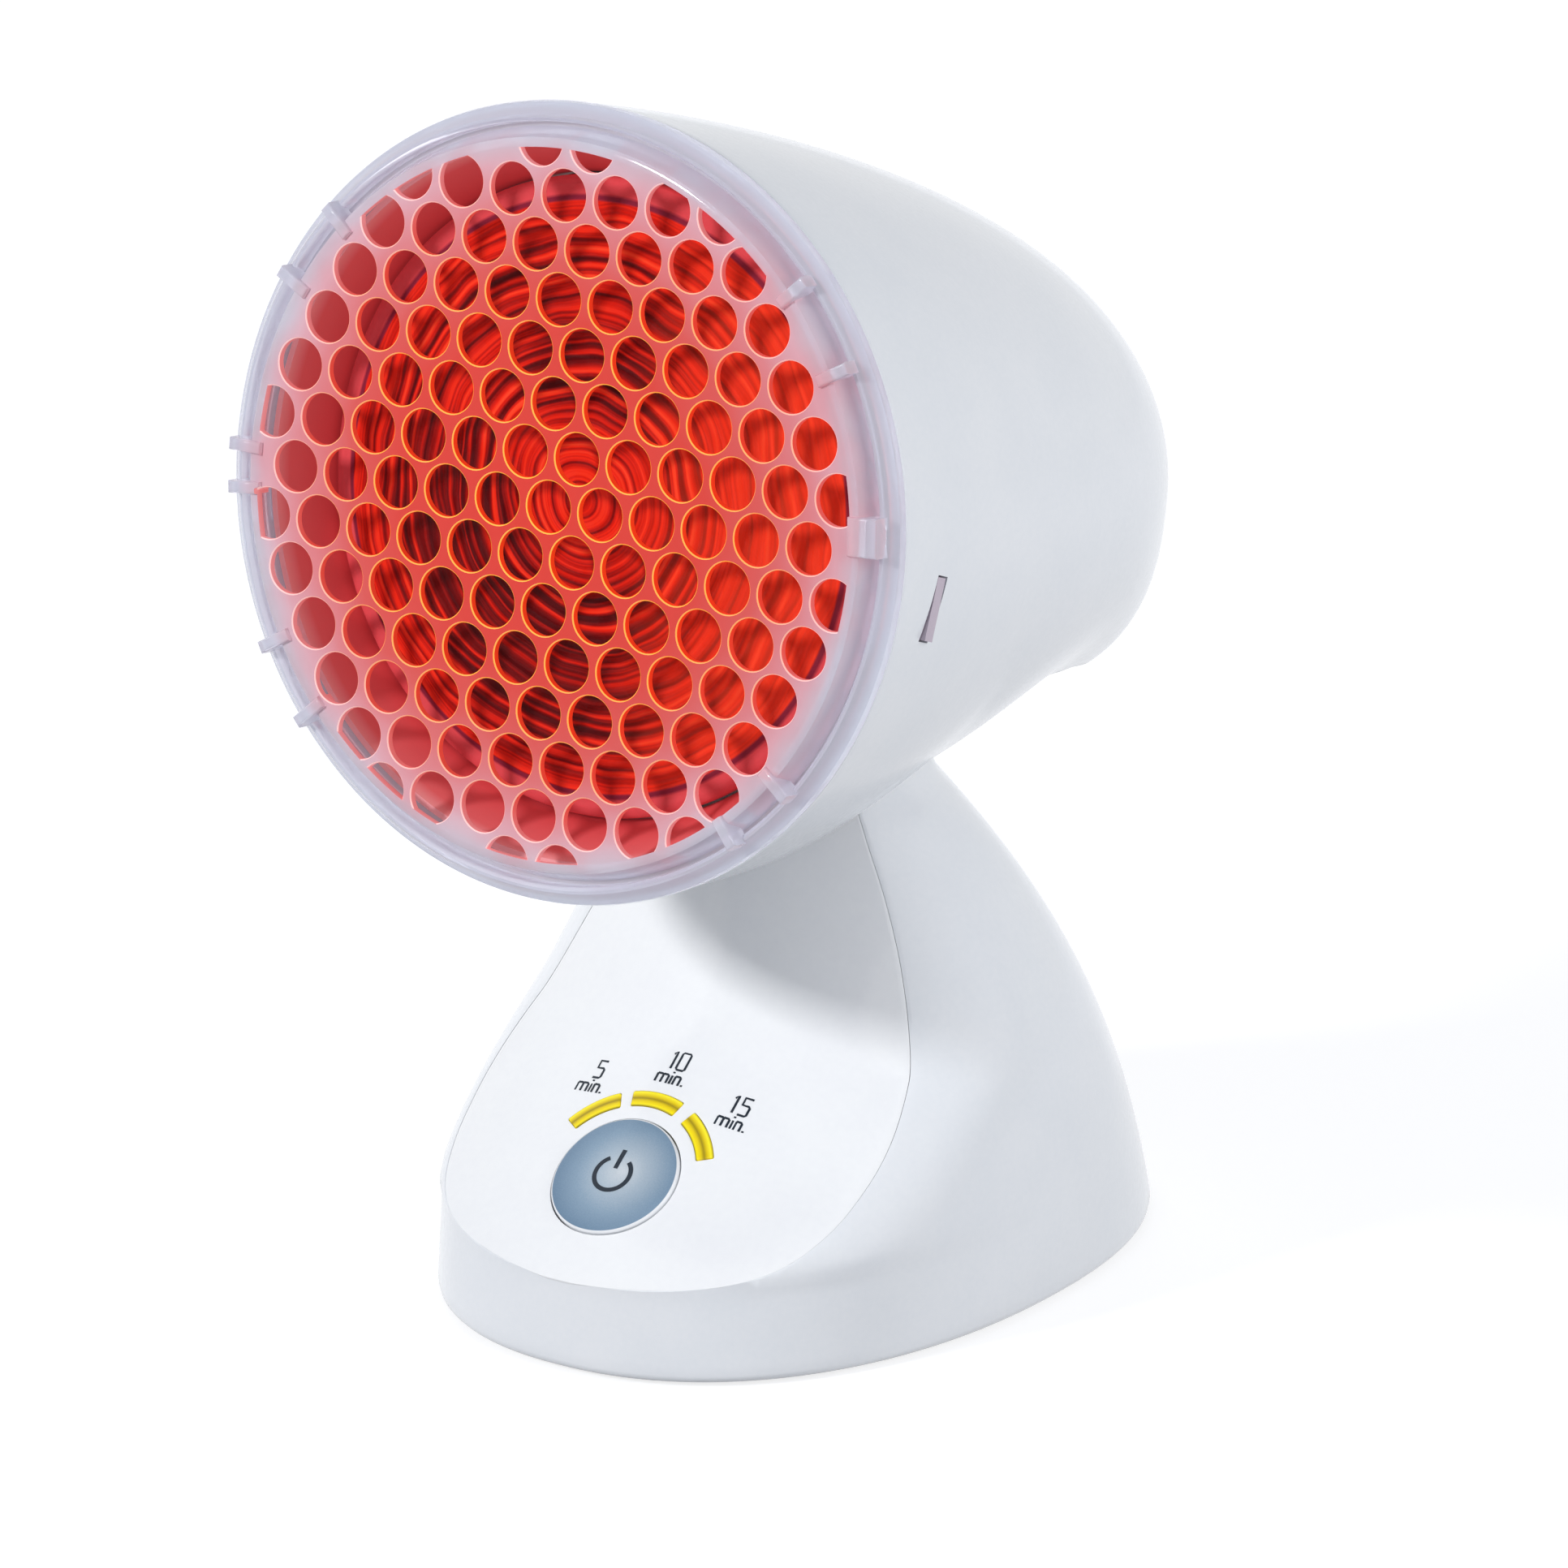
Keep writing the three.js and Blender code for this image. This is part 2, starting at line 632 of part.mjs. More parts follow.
// Filament: a coiled wire across two supports that stand on the reflector's floor
const filament = {
  behindRim: 36, halfWidth: 11, coilRadius: 1.3, supportRadius: 0.8, supportSides: 4,
};
const filamentAlong = bulb.rimAlong + filament.behindRim;
const floorAlong = neckAlong - bulb.bodyWall;
piece(head, 'bulb_filament', join(
  bar('x', filament.coilRadius, -filament.halfWidth, filament.halfWidth, [filamentAlong, 0], nutSides),
  ...[-1, 1].map((side) => bar(
    'y', filament.supportRadius, filamentAlong, floorAlong - seatGap,
    [side * (filament.halfWidth - filament.coilRadius), 0], filament.supportSides,
  )),
), steel);

// Socket round the cap, and the plate behind it that fits the cowl
const socketScrewBores = (grow) => join(...[-1, 1].map((side) => bar(
  'y', socket.screwRadius + grow, socketEnd - socket.screwBite - grow, screwSeat + overrun,
  [side * socket.screwX, 0],
)));

piece(head, 'lamp_socket', cut(
  turned([
    [socketBore, socketMouth], [socket.radius, socketMouth], [socket.radius, socketEnd], [0, socketEnd],
    [0, socketFloor], [socketBore, socketFloor], [socketBore, socketMouth],
  ]),
  socketScrewBores(runGap),
), ceramic);
const shellOuter = socketBore - seatGap;
const shellInner = shellOuter - socket.shellWall;
const shellStart = socketMouth + socket.lip;
piece(head, 'socket_screw_shell', turned([
  [shellInner, shellStart], [shellOuter, shellStart], [shellOuter, shellStart + socket.shellDepth],
  [shellInner, shellStart + socket.shellDepth], [shellInner, shellStart],
]), brass);
const springLow = contactEnd + seatGap;
piece(head, 'socket_contact_spring', join(
  block(
    [-socket.tongueWidth / 2, springLow, -socket.tongueWidth],
    [socket.tongueWidth / 2, springLow + socket.tongueThickness, socket.tongueWidth],
  ),
  block(
    [-socket.tongueWidth / 2, springLow, socket.tongueWidth - socket.tongueThickness],
    [socket.tongueWidth / 2, socketFloor - seatGap, socket.tongueWidth],
  ),
), brass);

function plateSolid() {
  const p = socketPlate;
  const slab = block([-headRadius, plateStart, -headRadius], [headRadius, plateEnd, headRadius]);
  const [from, to] = [plateStart - overrun, plateEnd + overrun];
  const holes = [-1, 1].flatMap((side) => [-1, 1].map((level) => bar(
    'y', p.ventRadius, from, to, [side * socket.radius, level * socket.screwX],
  )));
  const cable = bar('y', p.cableHoleRadius, from, to);
  const fitted = slab.intersect(cowlSolid(cowl.wall + seatGap, 0));
  return cut(fitted, ...holes, cable, socketScrewBores(runGap));
}

piece(head, 'socket_plate', plateSolid(), steel);
[['left', -1], ['right', 1]].forEach(([word, side]) => {
  const at = [side * socket.screwX, 0];
  const tip = socketEnd - socket.screwBite;
  piece(head, `socket_screw_${word}`, join(
    bar('y', socket.screwRadius, tip, screwSeat + socket.screwHeadHeight / 2, at),
    bar('y', socket.screwHead, screwSeat, screwSeat + socket.screwHeadHeight, at),
  ), steel);
});

// Heat shield: a funnel from the grille to the bulb's rim, with a flange that fits the cowl
const shield = {
  mouthAlong: 0.6,
  wall: 1.2,
  bulbClearance: 1.2,
  funnelBehindRim: 2,
  flangeBehindRim: 14,
};
const funnelEnd = bulb.rimAlong + shield.funnelBehindRim;
const flangeAlong = bulb.rimAlong + shield.flangeBehindRim;
const throatRadius = bulbRadius + shield.bulbClearance;
const mouthRadius = skirtRadius - grille.skirtWall - 2 * seatGap - shield.wall;
function shieldSolid() {
  const s = shield;
  const funnel = turned([
    [mouthRadius, s.mouthAlong], [mouthRadius + s.wall, s.mouthAlong],
    [throatRadius + s.wall, funnelEnd + s.wall], [throatRadius + s.wall, flangeAlong + s.wall],
    [throatRadius, flangeAlong + s.wall], [throatRadius, funnelEnd], [mouthRadius, s.mouthAlong],
  ], ringPoints);
  const slab = block(
    [-headRadius, flangeAlong, -headRadius], [headRadius, flangeAlong + s.wall, headRadius],
  );
  const flange = cut(
    slab.intersect(cowlSolid(cowl.wall + seatGap, 0)),
    bar('y', throatRadius + s.wall / 2, 0, headLength, [0, 0], ringPoints),
  );
  return join(funnel, flange);
}
piece(head, 'heat_shield', shieldSolid(), linerGrey);

// Base: a flared body, cut in front by the panel's surface, that rises to the neck's knuckle
const base = {
  wall: 3.4,
  edge: 1.6, // rounding of the lower edge
  shoulderHalfWidth: 24.5,
  shoulderRear: 23.3,
  sideFall: 2.87,
  rearFall: 1.14,
  square: 2.21,
  frontPeak: 1.75, // the same for the front above the controls, where it is more pointed
  roofUnder: 12, // solid neck above this far below the shoulder
  panelInset: 1.3, // rim of the body round the panel
  panelThickness: 2.4,
  passageRadius: 2.6, // for the lead from the base to the head
  passageFromPivot: 7.4,
  postInset: 13.2,
  postRadius: 4.5,
  postRib: 2,
  postHeight: 20,
  postFrontY: -20,
  postRearY: 32,
};
const frontShares = [
  [0, 1], [0.1, 0.988], [0.205, 0.971], [0.249, 0.956], [0.324, 0.922], [0.385, 0.862], [0.441, 0.786],
  [0.508, 0.655], [0.577, 0.551], [0.645, 0.461], [0.732, 0.392], [0.839, 0.319], [1, 0.268],
];
const baseLevelShares = [0, 0.1, 0.2, 0.28, 0.36, 0.44, 0.52, 0.62, 0.74, 0.87, 1];
// The neck above the shoulder, as shares of the way up to the pivot: level, side, depth
const neckShares = [[0.2, 0.6, 0.2], [0.42, 0.15, 0.5], [0.58, 0, 0.8], [1, 0, 1]];
const [pivotY, pivotZ] = fromHead(pivotAlong, pivotUp);
const shoulderFront = baseFront * frontShares[frontShares.length - 1][1];

// The front grows more pointed between these shares of the height
const peakFromShare = 0.22;
const peakToShare = 0.5;

function baseRing(halfWidth, front, rear, height) {
  const peak = THREE.MathUtils.clamp(
    (height / shoulderHeight - peakFromShare) / (peakToShare - peakFromShare), 0, 1,
  );
  return Array.from({ length: basePoints }, (_, i) => {
    const angle = (i / basePoints) * 2 * Math.PI;
    const [c, s] = [Math.cos(angle), Math.sin(angle)];
    const power = 2 / (s < 0 ? base.square + (base.frontPeak - base.square) * peak : base.square);
    const depth = s < 0 ? front : rear;
    return [halfWidth * rounded(c, power), baseWidestY + depth * rounded(s, power), height];
  });
}

function flaredRing(share, inset) {
  const side = base.shoulderHalfWidth
    + (baseHalfWidth - base.shoulderHalfWidth) * (1 - share ** base.sideFall);
  const rear = base.shoulderRear + (baseRear - base.shoulderRear) * (1 - share ** base.rearFall);
  const front = baseFront * through(frontShares, share);
  return baseRing(side - inset, front - inset, rear - inset, share * shoulderHeight);
}

function neckRing([level, sideShare, rearShare]) {
  const side = neckHalfWidth + (base.shoulderHalfWidth - neckHalfWidth) * sideShare;
  const rearTop = pivotY + knuckleRadius - baseWidestY;
  const rear = base.shoulderRear + (rearTop - base.shoulderRear) * rearShare;
  const frontTop = baseWidestY - (pivotY - knuckleRadius);
  const front = shoulderFront + (frontTop - shoulderFront) * rearShare;
  return baseRing(side, front, rear, shoulderHeight + (pivotZ - shoulderHeight) * level);
}

const flaredSolid = (inset, topShare) => skinned(
  baseLevelShares.filter((share) => share <= topShare).map((share) => flaredRing(share, inset)),
);
const wholeBase = skinned([
  flaredRing(0, base.edge),
  ...baseLevelShares.map((share) => flaredRing(share || base.edge / shoulderHeight, 0)),
  ...neckShares.map(neckRing),
]);

// Side view of the panel's surface: flat under the controls, then a curve up to the neck
const panel = {
  lowerShare: 0.1885, // height of its lower edge in front, of the shoulder's
  kneeShare: 0.5181, // height where the flat part ends
  kneeBehind: 40.51, // behind the lower edge
  buttonAbove: 23.2, // along the panel, from the lower edge
  flatBelow: 40,
  topInset: 7.27, // behind the base's front, at the shoulder
  topLean: 4.77, // degrees: it ends steeper than the line from its flat part to its top
  underShoulder: 1, // upper edge of the panel
  crownRadius: 72,
  curveSteps: 3,
  arcSteps: 10,
};
const lowerEdge = panel.lowerShare * shoulderHeight;
const lowerEdgeY = baseWidestY - baseFront * through(frontShares, panel.lowerShare);
const kneeAt = [lowerEdgeY + panel.kneeBehind, panel.kneeShare * shoulderHeight];
const flatLength = Math.hypot(panel.kneeBehind, kneeAt[1] - lowerEdge);
const [panelCos, panelSin] = [panel.kneeBehind / flatLength, (kneeAt[1] - lowerEdge) / flatLength];
const panelAngle = Math.atan2(panelSin, panelCos) / radians; // lean of the flat part
const buttonY = lowerEdgeY + panel.buttonAbove * panelCos;
const buttonZ = lowerEdge + panel.buttonAbove * panelSin;
const onPanel = (along, out) => [
  buttonY + along * panelCos - out * panelSin, buttonZ + along * panelSin + out * panelCos,
];
const topY = baseWidestY - shoulderFront + panel.topInset;
const topAngle = Math.atan2(shoulderHeight - kneeAt[1], topY - kneeAt[0]) + panel.topLean * radians;
const panelTop = shoulderHeight - panel.underShoulder;

function panelLine(depth) {
  const [topCos, topSin] = [Math.cos(topAngle), Math.sin(topAngle)];
  const knee = onPanel(flatLength - panel.buttonAbove, -depth);
  const top = [topY + depth * topSin, shoulderHeight - depth * topCos];
  const across = panelCos * topSin - panelSin * topCos;
  const run = ((top[0] - knee[0]) * topSin - (top[1] - knee[1]) * topCos) / across;
  const turn = [knee[0] + run * panelCos, knee[1] + run * panelSin];
  const curve = new THREE.QuadraticBezierCurve(...[knee, turn, top].map((p) => new THREE.Vector2(...p)));
  const far = shoulderHeight;
  return [
    onPanel(-panel.flatBelow, -depth), ...curve.getPoints(panel.curveSteps).map((p) => [p.x, p.y]),
    [top[0] + far * topCos, top[1] + far * topSin],
  ];
}

// Everything ahead of the panel's surface, moved in by a depth. Seen from above, the surface
// is an arc.
function aheadOf(depth) {
  const halfWidth = baseHalfWidth + overrun;
  const radius = panel.crownRadius - depth;
  const arcHalf = Math.min(halfWidth, radius);
  return skinned(panelLine(depth).map(([y, z]) => {
    const arc = Array.from({ length: panel.arcSteps + 1 }, (_, i) => {
      const x = arcHalf * ((2 * i) / panel.arcSteps - 1);
      return [x, y + radius - Math.sqrt(radius ** 2 - x ** 2), z];
    });
    return [[-halfWidth, -2 * baseFront, z], [halfWidth, -2 * baseFront, z], ...arc.reverse()];
  }));
}

const belowPanelTop = (height) => block(
  [-baseHalfWidth, -2 * baseFront, 0], [baseHalfWidth, 2 * baseFront, height],
);

const plateInset = base.wall + seatGap;
const corners = (x, frontY, rearY) => [
  ['front_left', -x, frontY], ['front_right', x, frontY],
  ['rear_left', -x, rearY], ['rear_right', x, rearY],
];
const postX = baseHalfWidth - base.postInset;
const postPlaces = corners(postX, base.postFrontY, base.postRearY);
const underPlate = { bottom: 1, thickness: 2.2 }; // a little inside the shell's lower edge
const plateTop = underPlate.bottom + underPlate.thickness;
const baseScrew = { radius: 1.6, head: 3.2, headHeight: 1.6, bite: 9 };
const gland = { radius: 7, mouthRadius: 5.6, boreRadius: 3.4, height: 15, inner: 12, outer: 3.5 };
const rearAtGland = baseWidestY + base.shoulderRear
  + (baseRear - base.shoulderRear) * (1 - (gland.height / shoulderHeight) ** base.rearFall);

function baseShell() {
  const b = base;
  const roofShare = (shoulderHeight - b.roofUnder) / shoulderHeight;
  const hollow = join(
    flaredSolid(b.wall, roofShare),
    bar(
      'z', b.passageRadius, shoulderHeight - 2 * b.roofUnder, pivotZ + 2 * knuckleRadius,
      [0, pivotY - b.passageFromPivot],
    ),
  );
  const panelBed = aheadOf(b.panelThickness + seatGap)
    .intersect(flaredSolid(b.panelInset, 1))
    .intersect(belowPanelTop(panelTop + seatGap));
  const knuckle = bar('x', knuckleRadius, -neckHalfWidth, neckHalfWidth, [pivotY, pivotZ], roundSides);
  const solid = join(cut(wholeBase, aheadOf(0)), knuckle);
  const posts = postPlaces.map(([, x, y]) => join(
    bar('z', b.postRadius, plateTop + seatGap, plateTop + b.postHeight, [x, y], shaftSides),
    block(
      [Math.min(x, x * 2), y - b.postRib / 2, plateTop + seatGap],
      [Math.max(x, x * 2), y + b.postRib / 2, plateTop + b.postHeight],
    ),
  ).intersect(wholeBase));
  const bores = postPlaces.map(([, x, y]) => bar(
    'z', baseScrew.radius + runGap, 0, plateTop + baseScrew.bite + seatGap, [x, y],
  ));
  const glandHole = bar(
    'y', gland.radius + seatGap, baseWidestY, baseRear * 2, [0, gland.height], roundSides,
  );
  const atAxle = [pivotY, pivotZ];
  const axleBore = bar('x', axleRadius + runGap, -baseHalfWidth, baseHalfWidth, atAxle, shaftSides);
  const shell = join(cut(solid, hollow, glandHole, axleBore), ...posts);
  return cut(shell, panelBed, ...bores);
}

// Frame of the controls: on the panel at the button's centre, Y up the panel, Z out of it
controls.position.set(0, buttonY, buttonZ);
controls.rotation.x = panelAngle * radians;

const button = {
  radius: 13.1,
  proud: 1,
  crown: 0.8,
  flange: 1.5,
  flangeRadius: 14.6,
  travel: 1,
  stem: 2,
  stemRadius: 3,
};
// Across the button's face: share of the radius, share of the crown
const faceShares = [[0, 1], [0.5, 0.8], [0.85, 0.25]];
const ledArc = { radius: 18, width: 3, angle: 33, proud: 0.2, depth: 6.6, steps: 6 };
const ledPlaces = [['5_min', 132], ['10_min', 90], ['15_min', 46]];
const board = {
  thickness: 1.6,
  halfWidth: 22.5,
  low: -14,
  high: 27,
  postX: 19.2,
  postLow: -10.5,
  postHigh: 23.5,
  postRadius: 2.6,
};
const boardScrew = { radius: 1.1, head: 2.3, headHeight: 1.4, bite: 3.4 };

// How far the arched panel falls below its middle line
const panelFall = (x) => (panel.crownRadius - Math.sqrt(panel.crownRadius ** 2 - x ** 2)) * panelSin;
const buttonUnder = -base.panelThickness - panelFall(button.flangeRadius) - seatGap - button.flange;
const stemEnd = buttonUnder - button.stem;
const tact = { halfWidth: 3, height: 3.2, plunger: 3, plungerRadius: 1.75 };
const plungerTop = stemEnd - seatGap;
const switchTop = plungerTop - tact.plunger / 2;
const boardTop = switchTop - tact.height - seatGap;
const boardUnder = boardTop - board.thickness;
const boardPosts = [[-1, 'low'], [1, 'low'], [-1, 'high'], [1, 'high']].map(([side, level]) => [
  side * board.postX, level === 'low' ? board.postLow : board.postHigh,
]);

function arcSolid(angle, grow, low, high) {
  const span = (ledArc.angle / 2) * radians + grow / ledArc.radius;
  const reach = ledArc.width / 2 + grow;
  const [inner, outer] = [ledArc.radius - reach, ledArc.radius + reach];
  const middle = angle * radians;
  const edge = (radius, from, to) => Array.from({ length: ledArc.steps + 1 }, (_, i) => {
    const at = middle + from + ((to - from) * i) / ledArc.steps;
    return new THREE.Vector2(radius * Math.cos(at), radius * Math.sin(at));
  });
  const shape = new THREE.Shape([...edge(outer, -span, span), ...edge(inner, span, -span)]);
  const geometry = new THREE.ExtrudeGeometry(shape, { depth: high - low, bevelEnabled: false });
  geometry.translate(0, 0, low);
  return solidOf(geometry);
}

// The panel is cut in the lamp's frame, so its openings are brought there
const toLamp = (solid) => solid
  .rotate([panelAngle, 0, 0])
  .translate([0, buttonY, buttonZ]);

function panelSolid() {
  const b = base;
  const slab = cut(
    aheadOf(b.panelThickness).intersect(flaredSolid(b.panelInset + seatGap, 1)),
    aheadOf(0),
  ).intersect(belowPanelTop(panelTop));
  const posts = boardPosts.map(([x, y]) => cut(
    toLamp(bar('z', board.postRadius, boardTop + seatGap, 0, [x, y])), aheadOf(b.panelThickness / 2),
  ));
  const bores = boardPosts.map(([x, y]) => bar(
    'z', boardScrew.radius + runGap, boardTop - overrun, boardTop + boardScrew.bite + seatGap, [x, y],
  ));
  const below = -b.panelThickness - overrun;
  const buttonHole = bar('z', button.radius + runGap, below, overrun, [0, 0], ringPoints);
  const windows = ledPlaces.map(([, angle]) => arcSolid(angle, seatGap, below, overrun));
  return cut(join(slab, ...posts), ...[buttonHole, ...windows, ...bores].map(toLamp));
}

piece(lamp, 'base_shell', baseShell(), whiteShell);
piece(lamp, 'front_panel', panelSolid(), whiteGloss);

// Power button with a crowned face, a flange under the panel and a stem on the switch
function buttonSolid() {
  const b = button;
  const face = faceShares.map(([across, up]) => [b.radius * across, b.proud + b.crown * up]);
  const rows = [
    ...face, [b.radius, b.proud - b.crown],
    [b.radius, buttonUnder + b.flange], [b.flangeRadius, buttonUnder + b.flange],
    [b.flangeRadius, buttonUnder], [b.stemRadius, buttonUnder], [b.stemRadius, stemEnd], [0, stemEnd],
  ];
  return turned(rows, ringPoints).rotate([quarter / radians, 0, 0]);
}
piece(lamp, 'power_button', cut(toLamp(buttonSolid()), aheadOf(-button.proud)), buttonGrey);

const plungerFloor = plungerTop - tact.plunger;
piece(controls, 'switch_plunger', bar('z', tact.plungerRadius, plungerFloor, plungerTop), blackPlastic);
piece(controls, 'switch_body', cut(
  block(
    [-tact.halfWidth, -tact.halfWidth, boardTop + seatGap], [tact.halfWidth, tact.halfWidth, switchTop],
  ),
  bar('z', tact.plungerRadius + runGap, plungerFloor - button.travel - seatGap, switchTop + overrun),
), steel);

// Light windows and the diodes under them
const diode = { halfWidth: 2.2, halfHeight: 1.4, height: 1.8 };
ledPlaces.forEach(([word, angle]) => {
  piece(lamp, `led_window_${word}`, cut(
    toLamp(arcSolid(angle, 0, -ledArc.depth, overrun)), aheadOf(-ledArc.proud),
  ), amber);
  const turn = angle * radians;
  const at = [ledArc.radius * Math.cos(turn), ledArc.radius * Math.sin(turn)];
  piece(controls, `led_${word}`, block(
    [at[0] - diode.halfWidth, at[1] - diode.halfHeight, boardTop + seatGap],
    [at[0] + diode.halfWidth, at[1] + diode.halfHeight, boardTop + seatGap + diode.height],
  ), ceramic);
});

// Circuit board on the panel's posts, with what it carries on its back
piece(controls, 'circuit_board', cut(
  block([-board.halfWidth, board.low, boardUnder], [board.halfWidth, board.high, boardTop]),
  ...boardPosts.map(([x, y]) => bar(
    'z', boardScrew.radius + runGap, boardUnder - overrun, boardTop + overrun, [x, y],
  )),
), boardGreen);
boardPosts.forEach(([x, y], i) => {
  const seat = boardUnder - seatGap;
  piece(controls, `board_screw_${i + 1}`, join(
    bar('z', boardScrew.radius, seat - boardScrew.headHeight / 2, boardTop + boardScrew.bite, [x, y]),
    bar('z', boardScrew.head, seat - boardScrew.headHeight, seat, [x, y]),
  ), steel);
});
const relay = { halfWidth: 9.5, low: 3, length: 15, height: 14 };
const underBoard = boardUnder - seatGap;
piece(controls, 'relay', block(
  [-relay.halfWidth, relay.low, underBoard - relay.height],
  [relay.halfWidth, relay.low + relay.length, underBoard],
), blackPlastic);
const capacitor = { radius: 4.4, height: 12, x: 8, y: -5 };
piece(controls, 'capacitor', bar(
  'z', capacitor.radius, underBoard - capacitor.height, underBoard,
  [capacitor.x, capacitor.y], roundSides,
), blackPlastic);
const buzzer = { radius: 6, height: 5, holeRadius: 1.2, x: -8, y: -5 };
const buzzerLow = underBoard - buzzer.height;
piece(controls, 'buzzer', cut(
  bar('z', buzzer.radius, buzzerLow, underBoard, [buzzer.x, buzzer.y], roundSides),
  bar('z', buzzer.holeRadius, buzzerLow - overrun, buzzerLow + buzzer.height / 2, [buzzer.x, buzzer.y]),
), blackPlastic);
const terminals = { halfWidth: 8, low: 19, length: 7, height: 8, holeRadius: 1.2 };
const terminalsLow = underBoard - terminals.height;
piece(controls, 'terminal_block', cut(
  block(
    [-terminals.halfWidth, terminals.low, terminalsLow],
    [terminals.halfWidth, terminals.low + terminals.length, underBoard],
  ),
  ...[-1, 1].map((side) => bar(
    'z', terminals.holeRadius, terminalsLow - overrun, terminalsLow + terminals.height / 2,
    [(side * terminals.halfWidth) / 2, terminals.low + terminals.length / 2],
  )),
), boardGreen);

// Disc with a notch for each tilt position, and the washer on the other side of the knuckle
const noseAngle = Math.asin(detent.noseRise / detent.discRadius) - headTilt * radians;
const discEnd = discX + discThickness;
const atKnuckle = [pivotY, pivotZ];
const notchBars = Array.from({ length: detent.count }, (_, i) => {
  const angle = noseAngle - (detent.first + i * detent.step) * radians;
  const at = [
    pivotY + detent.discRadius * Math.cos(angle), pivotZ + detent.discRadius * Math.sin(angle),
  ];
  return bar('x', detent.notchRadius, discX - overrun, discEnd + overrun, at, nutSides);
});
piece(lamp, 'detent_disc', cut(
  bar('x', detent.discRadius, discX, discEnd, atKnuckle, ringPoints),
  bar('x', axleRadius + runGap, discX - overrun, discEnd + overrun, atKnuckle, shaftSides),
  ...notchBars,
), steel);
piece(lamp, 'friction_washer', cut(
  bar('x', detent.discRadius, -discEnd, -discX, atKnuckle, roundSides),
  bar('x', axleRadius + runGap, -discEnd - overrun, -discX + overrun, atKnuckle, shaftSides),
), steel);

// Under plate inside the base's rim, with its screws, feet and the weight that steadies the lamp
const sunk = underPlate.bottom + baseScrew.headHeight / 2;
piece(lamp, 'base_plate', cut(
  flaredSolid(plateInset, baseLevelShares[2]).intersect(block(
    [-baseHalfWidth, -baseFront, underPlate.bottom], [baseHalfWidth, baseFront, plateTop],
  )),
  ...postPlaces.flatMap(([, x, y]) => [
    bar('z', baseScrew.radius + runGap, -overrun, plateTop + overrun, [x, y]),
    bar('z', baseScrew.head + runGap, -overrun, sunk, [x, y]),
  ]),
), whiteShell);
postPlaces.forEach(([word, x, y]) => {
  const seat = sunk - seatGap;
  piece(lamp, `base_screw_${word}`, join(
    bar('z', baseScrew.head, seat - baseScrew.headHeight / 2, seat, [x, y]),
    bar('z', baseScrew.radius, seat - baseScrew.headHeight / 4, plateTop + baseScrew.bite, [x, y]),
  ), steel);
});
const foot = { radius: 7, drop: 0.8, sideShare: 0.565, frontInset: 37.2, rearInset: 20.9 };
const footPlaces = corners(
  baseHalfWidth * foot.sideShare, foot.frontInset - baseFront, baseRear - foot.rearInset,
);
footPlaces.forEach(([word, x, y]) => {
  const top = underPlate.bottom - seatGap;
  piece(lamp, `foot_${word}`, bar('z', foot.radius, -foot.drop, top, [x, y], roundSides), rubber);
});
const weight = { sideClear: 4.5, frontInset: 45.2, rearInset: 18.9, thickness: 7, corner: 14 };
const weightSide = postX - base.postRadius - weight.sideClear;
const [weightFront, weightRear] = [weight.frontInset - baseFront, baseRear - weight.rearInset];
const weightHalf = [
  [weightSide - weight.corner, weightFront], [weightSide, weightFront + weight.corner],
  [weightSide, weightRear - weight.corner], [weightSide - weight.corner, weightRear],
];
const weightShape = new THREE.Shape([
  ...weightHalf, ...weightHalf.map(([x, y]) => [-x, y]).reverse(),
].map(([x, y]) => new THREE.Vector2(x, y)));
const weightGeometry = new THREE.ExtrudeGeometry(weightShape, {
  depth: weight.thickness, bevelEnabled: false,
});
weightGeometry.translate(0, 0, plateTop + seatGap);
piece(lamp, 'ballast_weight', solidOf(weightGeometry), steel);

// Gland in the rear wall for the supply lead
const [glandStart, glandEnd] = [rearAtGland - gland.inner, rearAtGland + gland.outer];
piece(lamp, 'cord_gland', turned([
  [gland.boreRadius, glandStart], [gland.radius, glandStart], [gland.radius, rearAtGland],
  [gland.mouthRadius, glandEnd], [gland.boreRadius, glandEnd], [gland.boreRadius, glandStart],
]).translate([0, 0, gland.height]), rubber);

// The origin goes to the middle of the whole lamp's footprint
lamp.updateMatrixWorld(true);
const bounds = new THREE.Box3().setFromObject(lamp, true);
const middle = bounds.getCenter(new THREE.Vector3());
lamp.position.set(-middle.x, -middle.y, -bounds.min.z);
lamp.updateMatrixWorld(true);

export default lamp;
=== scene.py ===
import json
from math import copysign, cos, hypot, radians, sin, sqrt, tau

import bmesh
import bpy
from mathutils import Matrix, Vector


